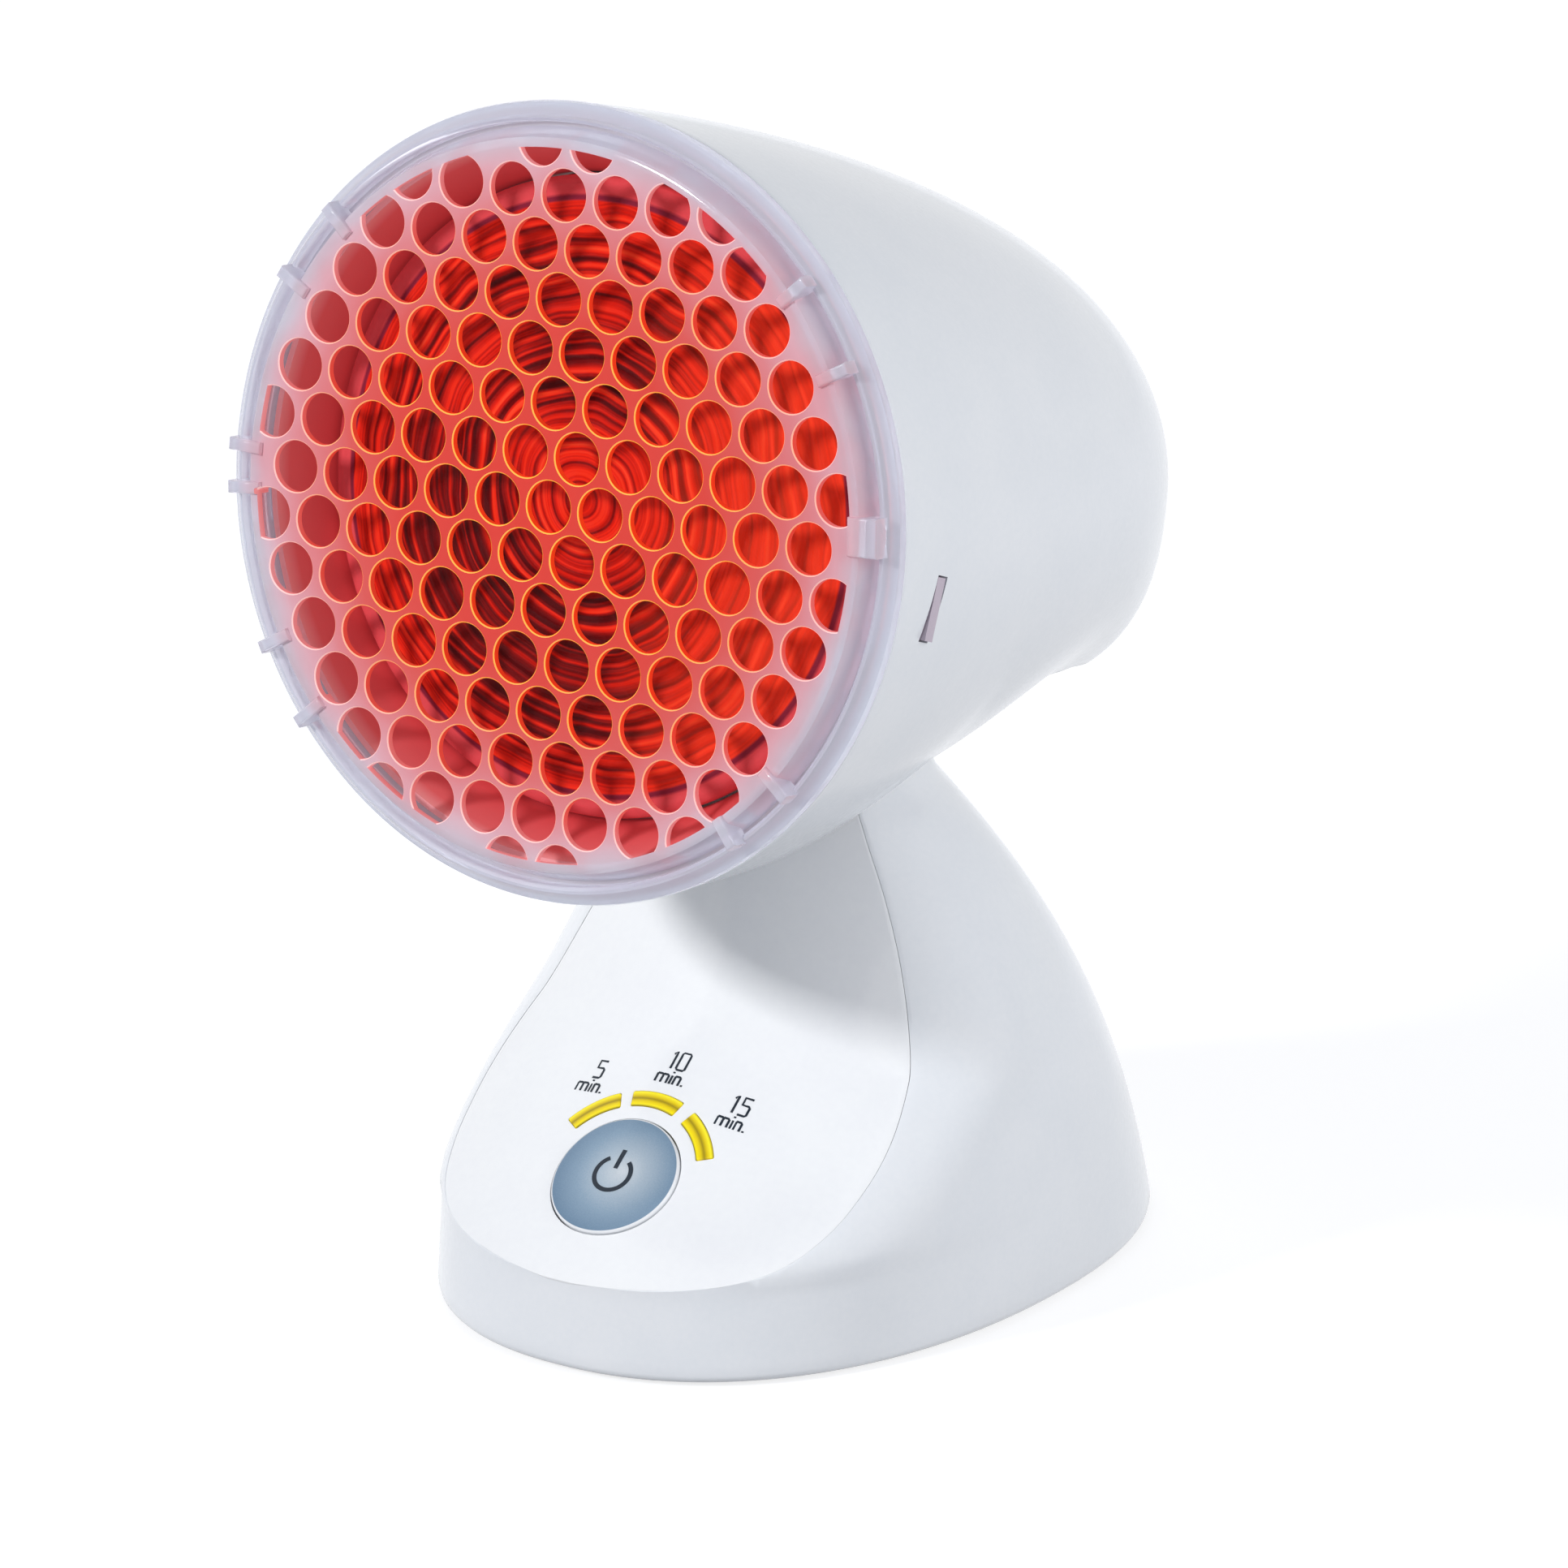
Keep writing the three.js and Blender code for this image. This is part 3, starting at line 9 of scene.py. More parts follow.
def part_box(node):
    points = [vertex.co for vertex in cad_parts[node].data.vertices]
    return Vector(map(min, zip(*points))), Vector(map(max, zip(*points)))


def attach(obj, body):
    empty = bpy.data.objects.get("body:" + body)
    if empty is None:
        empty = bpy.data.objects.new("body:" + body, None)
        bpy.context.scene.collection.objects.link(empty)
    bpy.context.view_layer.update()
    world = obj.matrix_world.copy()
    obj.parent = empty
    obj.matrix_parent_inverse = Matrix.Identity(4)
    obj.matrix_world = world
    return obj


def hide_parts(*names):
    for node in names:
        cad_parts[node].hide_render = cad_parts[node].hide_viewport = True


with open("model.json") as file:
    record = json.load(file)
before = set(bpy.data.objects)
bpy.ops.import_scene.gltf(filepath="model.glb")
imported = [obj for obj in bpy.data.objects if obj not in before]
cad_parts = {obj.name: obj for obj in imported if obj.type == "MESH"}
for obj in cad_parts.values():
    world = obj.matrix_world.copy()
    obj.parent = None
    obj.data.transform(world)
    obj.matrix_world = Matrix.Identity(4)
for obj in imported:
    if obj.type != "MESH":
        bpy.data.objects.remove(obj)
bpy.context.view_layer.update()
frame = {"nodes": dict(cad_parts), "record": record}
mm = 0.001  # the scene is in metres, the sizes below in millimetres
weld = 1e-6  # points closer than this, in metres, become one
beyond = 80  # past every surface that a cutter has to leave, in millimetres
print("frame loaded:", len(frame["nodes"]), "nodes")


# Tools for making pieces

def objectMode():
    bpy.ops.object.mode_set(mode="OBJECT")


def deselectAll():
    if bpy.context.object and bpy.context.object.mode != "OBJECT":
        objectMode()
    bpy.ops.object.select_all(action="DESELECT")


def makeActive(piece):
    deselectAll()
    piece.select_set(True)
    bpy.context.view_layer.objects.active = piece


def editAll(piece):
    makeActive(piece)
    bpy.ops.object.mode_set(mode="EDIT")
    bpy.ops.mesh.select_mode(type="VERT")
    bpy.ops.mesh.select_all(action="SELECT")


def closeMesh(piece, caps=True):
    editAll(piece)
    bpy.ops.mesh.remove_doubles(threshold=weld)
    if caps:
        bpy.ops.mesh.fill_holes(sides=0)
        bpy.ops.mesh.select_all(action="SELECT")
    bpy.ops.mesh.normals_make_consistent()
    objectMode()


def selectEdges(piece, wanted):
    # leaves the piece in edit mode with the edges selected that the test wants
    editAll(piece)
    bpy.ops.mesh.select_mode(type="EDGE")
    bpy.ops.mesh.select_all(action="DESELECT")
    work = bmesh.from_edit_mesh(piece.data)
    for edge in work.edges:
        if wanted(edge):
            edge.select_set(True)
    bmesh.update_edit_mesh(piece.data)


def isSharp(edge, degrees=50):
    return len(edge.link_faces) == 2 and edge.calc_face_angle(0) > radians(degrees)


def bevelEdges(piece, wanted, width, segments):
    selectEdges(piece, wanted)
    bpy.ops.mesh.bevel(offset=width * mm, segments=segments, clamp_overlap=False)
    objectMode()


def applyModifier(piece, kind, **settings):
    makeActive(piece)
    modifier = piece.modifiers.new(kind.title(), kind)
    for name, value in settings.items():
        setattr(modifier, name, value)
    bpy.ops.object.modifier_apply(modifier=modifier.name)


def newPiece(name):
    bpy.context.object.name = name
    return bpy.context.object


def combine(piece, tool, operation="DIFFERENCE"):
    applyModifier(piece, "BOOLEAN", object=tool, operation=operation, solver="EXACT")
    bpy.data.objects.remove(tool)


def joinPieces(first, others):
    makeActive(first)
    for other in others:
        other.select_set(True)
    bpy.ops.object.join()
    return first


def copyOf(piece):
    copied = bpy.data.objects.new(piece.name, piece.data.copy())
    bpy.context.collection.objects.link(copied)
    return copied


def placeBy(piece, matrix):
    makeActive(piece)
    piece.matrix_world = matrix @ piece.matrix_world
    bpy.ops.object.transform_apply()
    return piece


def gridSurface(name, across, along, pointAt, caps=False):
    # a grid whose points are moved onto a surface, with its doubles merged
    deselectAll()
    bpy.ops.mesh.primitive_grid_add(x_subdivisions=across, y_subdivisions=along, size=2)
    piece = newPiece(name)
    for vertex in piece.data.vertices:
        vertex.co = Vector(pointAt((vertex.co.x + 1) / 2, (vertex.co.y + 1) / 2)) * mm
    closeMesh(piece, caps)
    return piece


def loft(name, rings, caps=True):
    # a closed skin over rings of points
    around, last = len(rings[0]), len(rings) - 1
    return gridSurface(
        name, around, last, lambda u, v: rings[round(v * last)][round(u * around) % around], caps,
    )


def turned(name, rows, steps):
    # rows of (radius, height), drawn by extruding one point and spun about Z
    deselectAll()
    bpy.ops.mesh.primitive_plane_add(size=1)
    piece = newPiece(name)
    editAll(piece)
    bpy.ops.mesh.merge(type="CENTER")
    bpy.ops.transform.translate(value=(rows[0][0] * mm, 0, rows[0][1] * mm))
    for (radius, height), (nextRadius, nextHeight) in zip(rows, rows[1:]):
        step = ((nextRadius - radius) * mm, 0, (nextHeight - height) * mm)
        bpy.ops.mesh.extrude_region_move(TRANSFORM_OT_translate={"value": step})
    bpy.ops.mesh.select_all(action="SELECT")
    bpy.ops.mesh.spin(steps=steps, angle=tau, center=(0, 0, 0), axis=(0, 0, 1))
    objectMode()
    closeMesh(piece, caps=False)
    return piece


def turnedBand(name, inner, outer, start, end, sides):
    rows = [(inner, start), (outer, start), (outer, end), (inner, end), (inner, start)]
    return turned(name, rows, sides)


def rod(name, radius, low, high, sides):
    deselectAll()
    bpy.ops.mesh.primitive_cylinder_add(
        vertices=sides, radius=radius * mm, depth=(high - low) * mm,
        location=(0, 0, (low + high) / 2 * mm),
    )
    bpy.ops.object.transform_apply()
    return newPiece(name)


def block(name, low, high):
    deselectAll()
    middle = [(a + b) / 2 * mm for a, b in zip(low, high)]
    bpy.ops.mesh.primitive_cube_add(size=1, location=middle)
    bpy.context.object.scale = [(b - a) * mm for a, b in zip(low, high)]
    bpy.ops.object.transform_apply()
    return newPiece(name)


def through(rows, place):
    # smooth value through a table of (place, value) rows
    last = len(rows) - 1
    i = 0
    while i < last - 1 and place > rows[i + 1][0]:
        i += 1

    def slope(k):
        low, high = max(k - 1, 0), min(k + 1, last)
        return (rows[high][1] - rows[low][1]) / (rows[high][0] - rows[low][0])

    span = rows[i + 1][0] - rows[i][0]
    t = clamp((place - rows[i][0]) / span)
    return ((2 * t ** 3 - 3 * t ** 2 + 1) * rows[i][1] + (t ** 3 - 2 * t ** 2 + t) * span * slope(i)
            + (3 * t ** 2 - 2 * t ** 3) * rows[i + 1][1] + (t ** 3 - t ** 2) * span * slope(i + 1))


def clamp(value, low=0, high=1):
    return max(low, min(high, value))


def rounded(value, power):
    return copysign(abs(value) ** power, value)


# Places: each group of pieces is made in its own axes and then set in the lamp's

lampShift = Vector((0, 4.265, 0.8))  # from the base's own axes to the middle of the footprint
headAxes = {"centre": (0, -68.735, 171.8), "turn": -9}  # middle of the cowl's front edge, looking up
controlAxes = {"centre": (0, -55.045, 32.9), "turn": 37.702}  # middle of the power button


def shift(x, y, z):
    return Matrix.Translation(Vector((x, y, z)) * mm)


def about(axis, degrees):
    return Matrix.Rotation(radians(degrees), 4, axis)


basePlace = shift(*lampShift)
headPlace = shift(*headAxes["centre"]) @ about("X", headAxes["turn"])
turnedPlace = headPlace @ about("X", -90)  # height above Z becomes depth
controlPlace = shift(*controlAxes["centre"]) @ about("X", controlAxes["turn"])


# Camera: a long lens from the right and above

camera = {"place": (1.1985, -1.7610, 0.8506), "turn": (70.5, 0, 34.2), "lens": 269.16, "sensor": 36}
deselectAll()
bpy.ops.object.camera_add(
    location=camera["place"], rotation=[radians(angle) for angle in camera["turn"]],
)
shot = newPiece("photoCamera")
shot.data.lens = camera["lens"]
shot.data.sensor_width = camera["sensor"]
bpy.context.scene.camera = shot
print("camera set")


# Finishes

def linear(colour):
    parts = [int(colour[i:i + 2], 16) / 255 for i in (1, 3, 5)]
    return tuple(p / 12.92 if p <= 0.04045 else ((p + 0.055) / 1.055) ** 2.4 for p in parts) + (1,)


def fillSockets(tree, node, inputs):
    # inputs by their names, or a list of them in their order
    for name, value in inputs.items() if isinstance(inputs, dict) else enumerate(inputs):
        if isinstance(value, bpy.types.NodeSocket):
            tree.links.new(value, node.inputs[name])
        else:
            node.inputs[name].default_value = value


def addNode(tree, kind, inputs=(), stops=(), out=0, **settings):
    node = tree.nodes.new("ShaderNode" + kind)
    for name, value in settings.items():
        setattr(node, name, value)
    fillSockets(tree, node, inputs)
    if stops:  # a ramp's colours by their places, from 0 to 1
        elements = node.color_ramp.elements
        while len(elements) < len(stops):
            elements.new(0.5)
        for element, (place, colour) in zip(elements, stops):
            element.position = place
            element.color = linear(colour)
    return node.outputs[out]


def newFinish(name, values):
    # a Principled shader with its constant values, and object coordinates in millimetres
    finish = bpy.data.materials.new(name)
    finish.use_nodes = True
    tree = finish.node_tree
    shader = tree.nodes["Principled BSDF"]
    fillSockets(tree, shader, values)
    place = addNode(tree, "TexCoord", out="Object")
    place = addNode(tree, "Mapping", {"Vector": place, "Scale": [1 / mm] * 3})
    return finish, tree, shader, place


def ownCoordinates(tree, axes):
    # millimetres across the head, into its depth and up it, or across, up and out of the controls
    place = addNode(tree, "TexCoord", out="Object")
    own = addNode(tree, "Mapping", {
        "Vector": place, "Location": Vector(axes["centre"]) * mm,
        "Rotation": (radians(axes["turn"]), 0, 0),
    }, vector_type="TEXTURE")
    return addNode(tree, "Mapping", {"Vector": own, "Scale": [1 / mm] * 3})


def radiusFrom(tree, coordinates, flatAxis):
    # distance from the middle, seen along one axis
    flat = [1, 1, 1]
    flat[flatAxis] = 0
    level = addNode(tree, "Mapping", {"Vector": coordinates, "Scale": flat})
    return addNode(tree, "VectorMath", [level], out="Value", operation="LENGTH")


def softRelief(tree, place, scale, strength, depth, detail=2):
    # shallow waves, so many to the millimetre and so many millimetres deep
    waves = addNode(tree, "TexNoise", {"Vector": place, "Scale": scale, "Detail": detail})
    relief = {"Height": waves, "Strength": strength, "Distance": depth * mm}
    return addNode(tree, "Bump", relief)


def surfaceFinish(name, colours, grain, roughness, bump, values):
    # a finish whose colour, gloss and fine relief vary together with its grain, in millimetres
    finish, tree, shader, place = newFinish(name, values)
    cloud = addNode(tree, "TexNoise", {"Vector": place, "Scale": 0.05, "Detail": 2})
    fine = addNode(tree, "TexNoise", {"Vector": place, "Scale": 1 / grain, "Detail": 3})
    mixed = addNode(tree, "Mix", {0: 0.35, 2: cloud, 3: fine})
    colour = addNode(tree, "ValToRGB", [mixed], [(0.35, colours[0]), (0.65, colours[1])])
    # a MapRange takes its value, the two ends that it comes from and the two that it goes to
    gloss = addNode(tree, "MapRange", [fine, 0.3, 0.7, *roughness])
    relief = addNode(tree, "Bump", {"Height": fine, "Strength": bump, "Distance": 0.05 * mm})
    fillSockets(tree, shader, {"Base Color": colour, "Roughness": gloss, "Normal": relief})
    return finish


plainFinishes = {  # name, two colours, grain in millimetres, roughness, relief, other values
    # glossy injection-moulded ABS: a cool white that mirrors the lamps softly
    "white_shell": (
        "glossyWhiteAbs", ("#eef1f5", "#f3f5f8"), 1.2, (0.16, 0.24), 0.10,
        {"IOR": 1.54, "Coat Weight": 0.3, "Coat Roughness": 0.08},
    ),
    # high-gloss ABS of the control panel: a cleaner white and a sharper mirror
    "white_panel": (
        "polishedWhiteAbs", ("#f8f9fb", "#fcfdfe"), 1.5, (0.08, 0.14), 0.05,
        {"IOR": 1.54, "Coat Weight": 0.5, "Coat Roughness": 0.03},
    ),
    # vacuum-silvered glass: the mirror inside the bulb, faintly warm with a painted reflection of the red
    # lens's light
    "silvered_glass": ("silveredGlass", ("#c9a9a6", "#d8bdb9"), 3, (0.10, 0.2), 0.05, {"Metallic": 0.85}),
    # zinc-plated pressed steel: a cold grey with a fine crystalline gloss
    "zinc_steel": ("zincPlatedSteel", ("#a9aeb4", "#c6cad0"), 0.6, (0.28, 0.42), 0.2, {"Metallic": 1}),
    # stamped brass: warm yellow metal with a rolled sheet's soft lines
    "stamped_brass": ("stampedBrass", ("#b88f3f", "#d3ad5c"), 0.8, (0.25, 0.38), 0.15, {"Metallic": 1}),
    # nickel-plated contact metal: slightly yellow bright metal
    "nickel_contact": ("platedNickel", ("#b9b4a8", "#d4cfc4"), 0.5, (0.2, 0.3), 0.1, {"Metallic": 1}),
    # glazed steatite ceramic: off-white with a wet-looking glaze
    "glazed_ceramic": (
        "glazedSteatite", ("#e9e4d8", "#f3efe6"), 2.5, (0.12, 0.25), 0.2,
        {"IOR": 1.6, "Coat Weight": 0.6, "Coat Roughness": 0.05},
    ),
    # black phenolic moulding: nearly black with a dull sheen
    "black_moulding": ("blackPhenolic", ("#17181a", "#232527"), 0.7, (0.4, 0.55), 0.25, {"IOR": 1.6}),
    # glass-epoxy laminate under green solder resist, the weave faintly visible
    "board_laminate": (
        "greenBoardLaminate", ("#17502e", "#1f6239"), 0.9, (0.3, 0.45), 0.2, {"IOR": 1.55},
    ),
    # moulded nitrile rubber: matt black with a talc-like bloom
    "black_rubber": ("mouldedRubber", ("#242527", "#303235"), 0.5, (0.7, 0.85), 0.4, {"IOR": 1.5}),
    # grey cast iron under thin paint: coarse sand-cast skin
    "ballast_iron": ("castIron", ("#4a4d50", "#606468"), 1.0, (0.5, 0.7), 0.8, {"Metallic": 0.6}),
    # milky epoxy of small light-emitting diodes
    "diode_white": (
        "milkyEpoxy", ("#efe9da", "#f7f3e8"), 1.0, (0.2, 0.3), 0.05,
        {"IOR": 1.5, "Subsurface Weight": 0.2, "Subsurface Scale": 0.001},
    ),
}
finishes = {slotName: surfaceFinish(*look) for slotName, look in plainFinishes.items()}


# Head: the cowl

cowl = {
    "radius": 75, "length": 142.5, "wall": 2.6, "lip": 0.9, "innerEdge": 0.3,
    "around": 160, "rows": 92, "crowd": 2.2,  # the rows lie closer towards the rear
    "sideFall": 4.53, "sideRound": 2.12, "topFall": 1.13, "topRound": 3.04,
    "lower": [(0, 1), (0.2, 0.973), (0.4, 0.805), (0.6, 0.612), (0.75, 0.61), (0.88, 0.62), (1, 0.62)],
    "squareFrom": 0.35, "squareOver": 0.4, "squareBy": 0.55,  # the underside grows squarer
    "belly": 33.8, "bellyFrom": 0.6, "bellyOver": 0.025, "bellyStart": 0.612,  # and then flat
    "endFrom": 0.88, "endOver": 0.12,  # the underside closes at the rear
}
rearVents = {"halfWidth": 21, "height": 3, "pitch": 7, "lowest": -10, "count": 6, "depth": 30, "past": 5}
neckSlot = {"halfWidth": 25, "from": 66, "to": 115, "aboveBelly": 7.6}
sideSlot = {
    "length": 12, "width": 2.6, "along": 12, "up": -7.9, "lean": -13, "gap": 0.35,
    "inner": 68, "face": 74.8,
}


def cowlRing(share, inset):
    # the outline at a share of the length, moved in by an inset
    c = cowl
    radius = c["radius"] - inset
    side = radius * (1 - share ** c["sideFall"]) ** (1 / c["sideRound"])
    top = radius * (1 - share ** c["topFall"]) ** (1 / c["topRound"])
    ending = clamp((share - c["endFrom"]) / c["endOver"])
    bottom = radius * through(c["lower"], share) * sqrt(1 - ending ** 2)
    power = 2 / (2 + c["squareBy"] * clamp((share - c["squareFrom"]) / c["squareOver"]))
    belly = radius
    if share > c["bellyFrom"]:
        flatness = clamp((share - c["bellyFrom"]) / c["bellyOver"])
        belly = c["belly"] - inset
        belly += (c["bellyStart"] * radius - belly) * (1 - flatness)
    depth = share * (c["length"] - inset)
    ring = []
    for i in range(c["around"]):
        across, up = cos(tau * i / c["around"]), sin(tau * i / c["around"])
        if up > 0:
            ring.append((side * across, depth, top * up))
        else:
            ring.append((side * rounded(across, power), depth, max(bottom * rounded(up, power), -belly)))
    return ring


def sideCatch(side, outer, grow):
    # the bar of a snap tongue, which fills the slot in the cowl's side
    s = sideSlot
    half = [(outer - s["inner"]) / 2, s["width"] / 2 + grow, s["length"] / 2 + grow]
    piece = block("sideCatch", [-size for size in half], half)
    middle = shift(side * (outer + s["inner"]) / 2, s["along"], s["up"])
    return placeBy(piece, middle @ about("X", s["lean"]))


def makeCowl():
    c = cowl
    rows, lip, half = [], c["lip"], c["rows"] // 2
    for i in range(c["rows"] + 1):  # outside, from the rear to the front edge
        share = 1 - (i / c["rows"]) ** c["crowd"]
        if share * c["length"] > lip:
            rows.append((share, 0))
    turn = [radians(angle) for angle in (0, 22.5, 45, 67.5, 90)]
    rows += [(lip * (1 - sin(a)) / c["length"], lip * (1 - cos(a))) for a in turn]
    rows += [(0, c["wall"] - c["innerEdge"]), (c["innerEdge"] / c["length"], c["wall"])]
    for i in range(half + 1):  # inside, back to the rear
        share = 1 - (1 - i / half) ** c["crowd"]
        if share * c["length"] > 2 * lip:
            rows.append((share, c["wall"]))
    shell = loft("headShell", [cowlRing(share, inset) for share, inset in rows], caps=False)
    v, n = rearVents, neckSlot
    lows = [v["lowest"] + i * v["pitch"] for i in range(v["count"])]
    cutters = [
        block("vent", (-v["halfWidth"], c["length"] - v["depth"], low),
              (v["halfWidth"], c["length"] + v["past"], low + v["height"]))
        for low in lows
    ]
    cutters.append(block(
        "neckOpening", (-n["halfWidth"], n["from"], -beyond),
        (n["halfWidth"], n["to"], -c["belly"] + n["aboveBelly"]),
    ))
    cutters += [sideCatch(side, beyond, sideSlot["gap"]) for side in (-1, 1)]
    combine(shell, joinPieces(cutters[0], cutters[1:]))
    return placeBy(shell, headPlace)


headShell = makeCowl()
print("cowl made")


# Head: the clear guard with its holes, lugs and two snap tongues

# clear polycarbonate with the red lens's light painted on: a painted coral glow in the middle, fading
# through pale pink to lavender towards its rim, by the distance from the middle in millimetres
guardLook = {"reach": 77, "cloud": 10, "clearFrom": 64, "clearTo": 71, "leastClear": 0.1}


def guardFinish(name, stops, values, clearRim=0):
    g = guardLook
    finish, tree, shader, place = newFinish(name, values)
    radius = radiusFrom(tree, ownCoordinates(tree, headAxes), 1)
    cloud = addNode(tree, "TexNoise", {"Vector": place, "Scale": 0.06, "Detail": 2})
    blurred = addNode(tree, "Math", [cloud, g["cloud"], radius], operation="MULTIPLY_ADD")
    middle = g["cloud"] / 2
    level = addNode(tree, "MapRange", [blurred, middle, middle + g["reach"]])
    shares = [(away / g["reach"], colour) for away, colour in stops]
    colour = addNode(tree, "ValToRGB", [level], shares)
    # the ramp's colour is also its emission: a painted glow of the lens's light on a part that is no lamp
    fillSockets(tree, shader, {
        "Base Color": colour, "Emission Color": colour, "Normal": softRelief(tree, place, 0.4, 0.15, 0.1),
    })
    if clearRim:
        ends = (g["clearFrom"], g["clearTo"], g["leastClear"], clearRim)
        clearness = addNode(tree, "MapRange", [radius, *ends])
        fillSockets(tree, shader, {"Transmission Weight": clearness})
    return finish


clearGuard = guardFinish("clearPolycarbonate", [
    (0, "#e4301e"), (34, "#e23a2e"), (46, "#e05450"), (57, "#e28389"), (64, "#e2a9b4"),
    (70, "#d9d7e3"), (77, "#dfe2ec"),
], {"Roughness": 0.08, "IOR": 1.58, "Specular IOR Level": 0.4, "Emission Strength": 0.1}, 0.6)
# the chamfers at the mouths of the holes carry a painted glow of the lamp's light: golden, then pale
guardEdge = guardFinish("polycarbonateEdge", [
    (0, "#ffb43c"), (40, "#ffa844"), (52, "#f9a878"), (60, "#f0b4ac"), (77, "#f2e2e8"),
], {"Roughness": 0.15, "IOR": 1.58, "Emission Strength": 0.4})
# the walls of the holes, with a painted red glow of the light from inside
guardWall = guardFinish("polycarbonateHoleWall", [
    (0, "#f24a1e"), (40, "#ef4424"), (56, "#e85a4c"), (66, "#e89a9c"), (77, "#f0c8d0"),
], {"Roughness": 0.2, "IOR": 1.58, "Specular IOR Level": 0.3, "Emission Strength": 0.35})
# the tips that show in the shell's slots: greyish lavender, painted shade, since little light reaches
# them
paintedShadeTip = surfaceFinish(
    "polycarbonateTipPaintedShade", ("#c3b4c2", "#cfc1cd"), 0.1, (0.2, 0.3), 0.1, {"IOR": 1.58},
)

guard = {
    "face": 68.6, "front": -6.6, "thickness": 1.5, "grooveRadius": 70.6, "groove": -1.9,
    "bead": 72.6, "beadHalf": 1.3, "beadHeight": 2.5, "rim": 75.3, "rimFront": -2.2, "rimBack": -0.3,
    "skirt": 71.1, "skirtWall": 1.6, "skirtDepth": 4, "turn": 2.5, "sides": 192,
    "zone": 67, "hole": 4.93, "chamfer": 0.22, "holeSides": 40, "cut": (-12, 5),
    "pitch": 11.62, "rowPitch": 9.73, "rowsOut": 7, "leastSliver": 3.2,
}
lugs = {
    "angles": [42, 28, 137, 150, -151, -138.5, -40, -52, 178, -175.5], "width": 2.4, "reach": 7.3,
    "outer": 73.3, "front": -7.6, "back": -3, "round": 0.5,
    "latch": (3, 7.4, 6.5),  # angle, width and reach of the broad one
}
tongue = {"start": 1, "length": 19, "thickness": 1.7, "halfHeight": 7.5, "window": (-5, 90)}


def makeLug(angle, width, reach):
    n = lugs
    piece = block("lug", (n["outer"] - reach, n["front"], -width / 2), (n["outer"], n["back"], width / 2))
    nearFront = n["front"] * mm * 0.9
    bevelEdges(piece, lambda edge: all(v.co.y < nearFront for v in edge.verts), n["round"], 3)
    return placeBy(piece, about("Y", -angle))


def guardHoles():
    # one hole with a chamfered mouth, copied over the face and cut off at the edge of its zone
    g = guard
    start, end = g["cut"]
    wide = g["hole"] + g["chamfer"] + 0.1
    hole = turned("hole", [
        (0, start), (wide, start), (wide, g["front"] - 0.1), (g["hole"], g["front"] + g["chamfer"]),
        (g["hole"], end), (0, end),
    ], g["holeSides"])
    holes, out = [], range(-g["rowsOut"], g["rowsOut"] + 1)
    for row in out:
        for column in out:
            x = (column + (row % 2) / 2) * g["pitch"]
            z = row * g["rowPitch"]
            if g["zone"] + g["hole"] - hypot(x, z) >= g["leastSliver"]:
                holes.append(placeBy(copyOf(hole), Matrix.Translation((x * mm, z * mm, 0))))
    cutter = joinPieces(hole, holes)
    combine(cutter, rod("zone", g["zone"], start + 1, end - 1, g["sides"]), "INTERSECT")
    placeBy(cutter, about("X", 90) @ Matrix.Scale(-1, 4, (0, 0, 1)))
    closeMesh(cutter, caps=False)
    return cutter


def makeTongue(side):
    # a strip behind the skirt that carries the bar for the slot in the cowl's side
    g, t, middle = guard, tongue, sideSlot["up"]
    inner = g["skirt"] - t["thickness"]
    piece = turnedBand("tongue", inner, g["skirt"], t["start"], t["length"], g["sides"])
    placeBy(piece, about("X", -90))
    combine(piece, block(
        "window", (min(0, side * beyond), t["window"][0], middle - t["halfHeight"]),
        (max(0, side * beyond), t["window"][1], middle + t["halfHeight"]),
    ), "INTERSECT")
    combine(piece, sideCatch(side, sideSlot["face"], 0), "UNION")
    for finish in (clearGuard, paintedShadeTip):
        piece.data.materials.append(finish)
    for face in piece.data.polygons:
        if hypot(face.center.x, face.center.z) > (g["skirt"] + 0.5) * mm:
            face.material_index = 1
    return piece


def makeGuard():
    g = guard
    back, innerSkirt = g["front"] + g["thickness"], g["skirt"] - g["skirtWall"]
    turn = [radians(angle) for angle in (-90, -60, -35, -12, 12, 35, 55)]
    bead = [(g["bead"] + g["beadHalf"] * sin(a), g["groove"] - g["beadHeight"] * cos(a)) for a in turn]
    # from the middle of the face over the bead and the rim to the skirt and back inside
    rows = [
        (0, g["front"]), (g["zone"], g["front"]), (g["face"] - 0.4, g["front"]),
        (g["face"] + 0.2, g["front"] + 0.35), (g["grooveRadius"] - 0.2, g["groove"] - 0.6),
        (g["grooveRadius"], g["groove"]), *bead, (g["rim"] - 0.7, g["rimFront"] - 0.35),
        (g["rim"] - 0.2, g["rimFront"]), (g["rim"], g["rimFront"] + 0.6), (g["rim"], g["rimBack"] - 0.2),
        (g["rim"] - 0.2, g["rimBack"]), (g["skirt"], g["rimBack"]), (g["skirt"], g["skirtDepth"]),
        (innerSkirt, g["skirtDepth"]), (innerSkirt, 0), (g["face"] - 1.6, back), (0, back),
    ]
    piece = turned("guard", rows, g["sides"])
    placeBy(piece, about("X", -90))
    cutter = guardHoles()
    bars = [makeLug(angle, lugs["width"], lugs["reach"]) for angle in lugs["angles"]]
    bars.append(makeLug(*lugs["latch"]))
    combine(piece, joinPieces(bars[0], bars[1:]), "UNION")
    combine(piece, cutter)
    for finish in (clearGuard, guardEdge, guardWall):
        piece.data.materials.append(finish)
    for face in piece.data.polygons:  # the walls of the holes and the chamfers at their mouths
        inZone = hypot(face.center.x, face.center.z) < (g["zone"] + 0.1) * mm
        if inZone and face.center.y > (g["front"] - 0.05) * mm and abs(face.normal.y) < 0.95:
            face.material_index = 2 if abs(face.normal.y) < 0.3 else 1
    placeBy(piece, about("Y", -g["turn"]))
    for side in (-1, 1):
        joinPieces(piece, [makeTongue(side)])
    return placeBy(piece, headPlace)


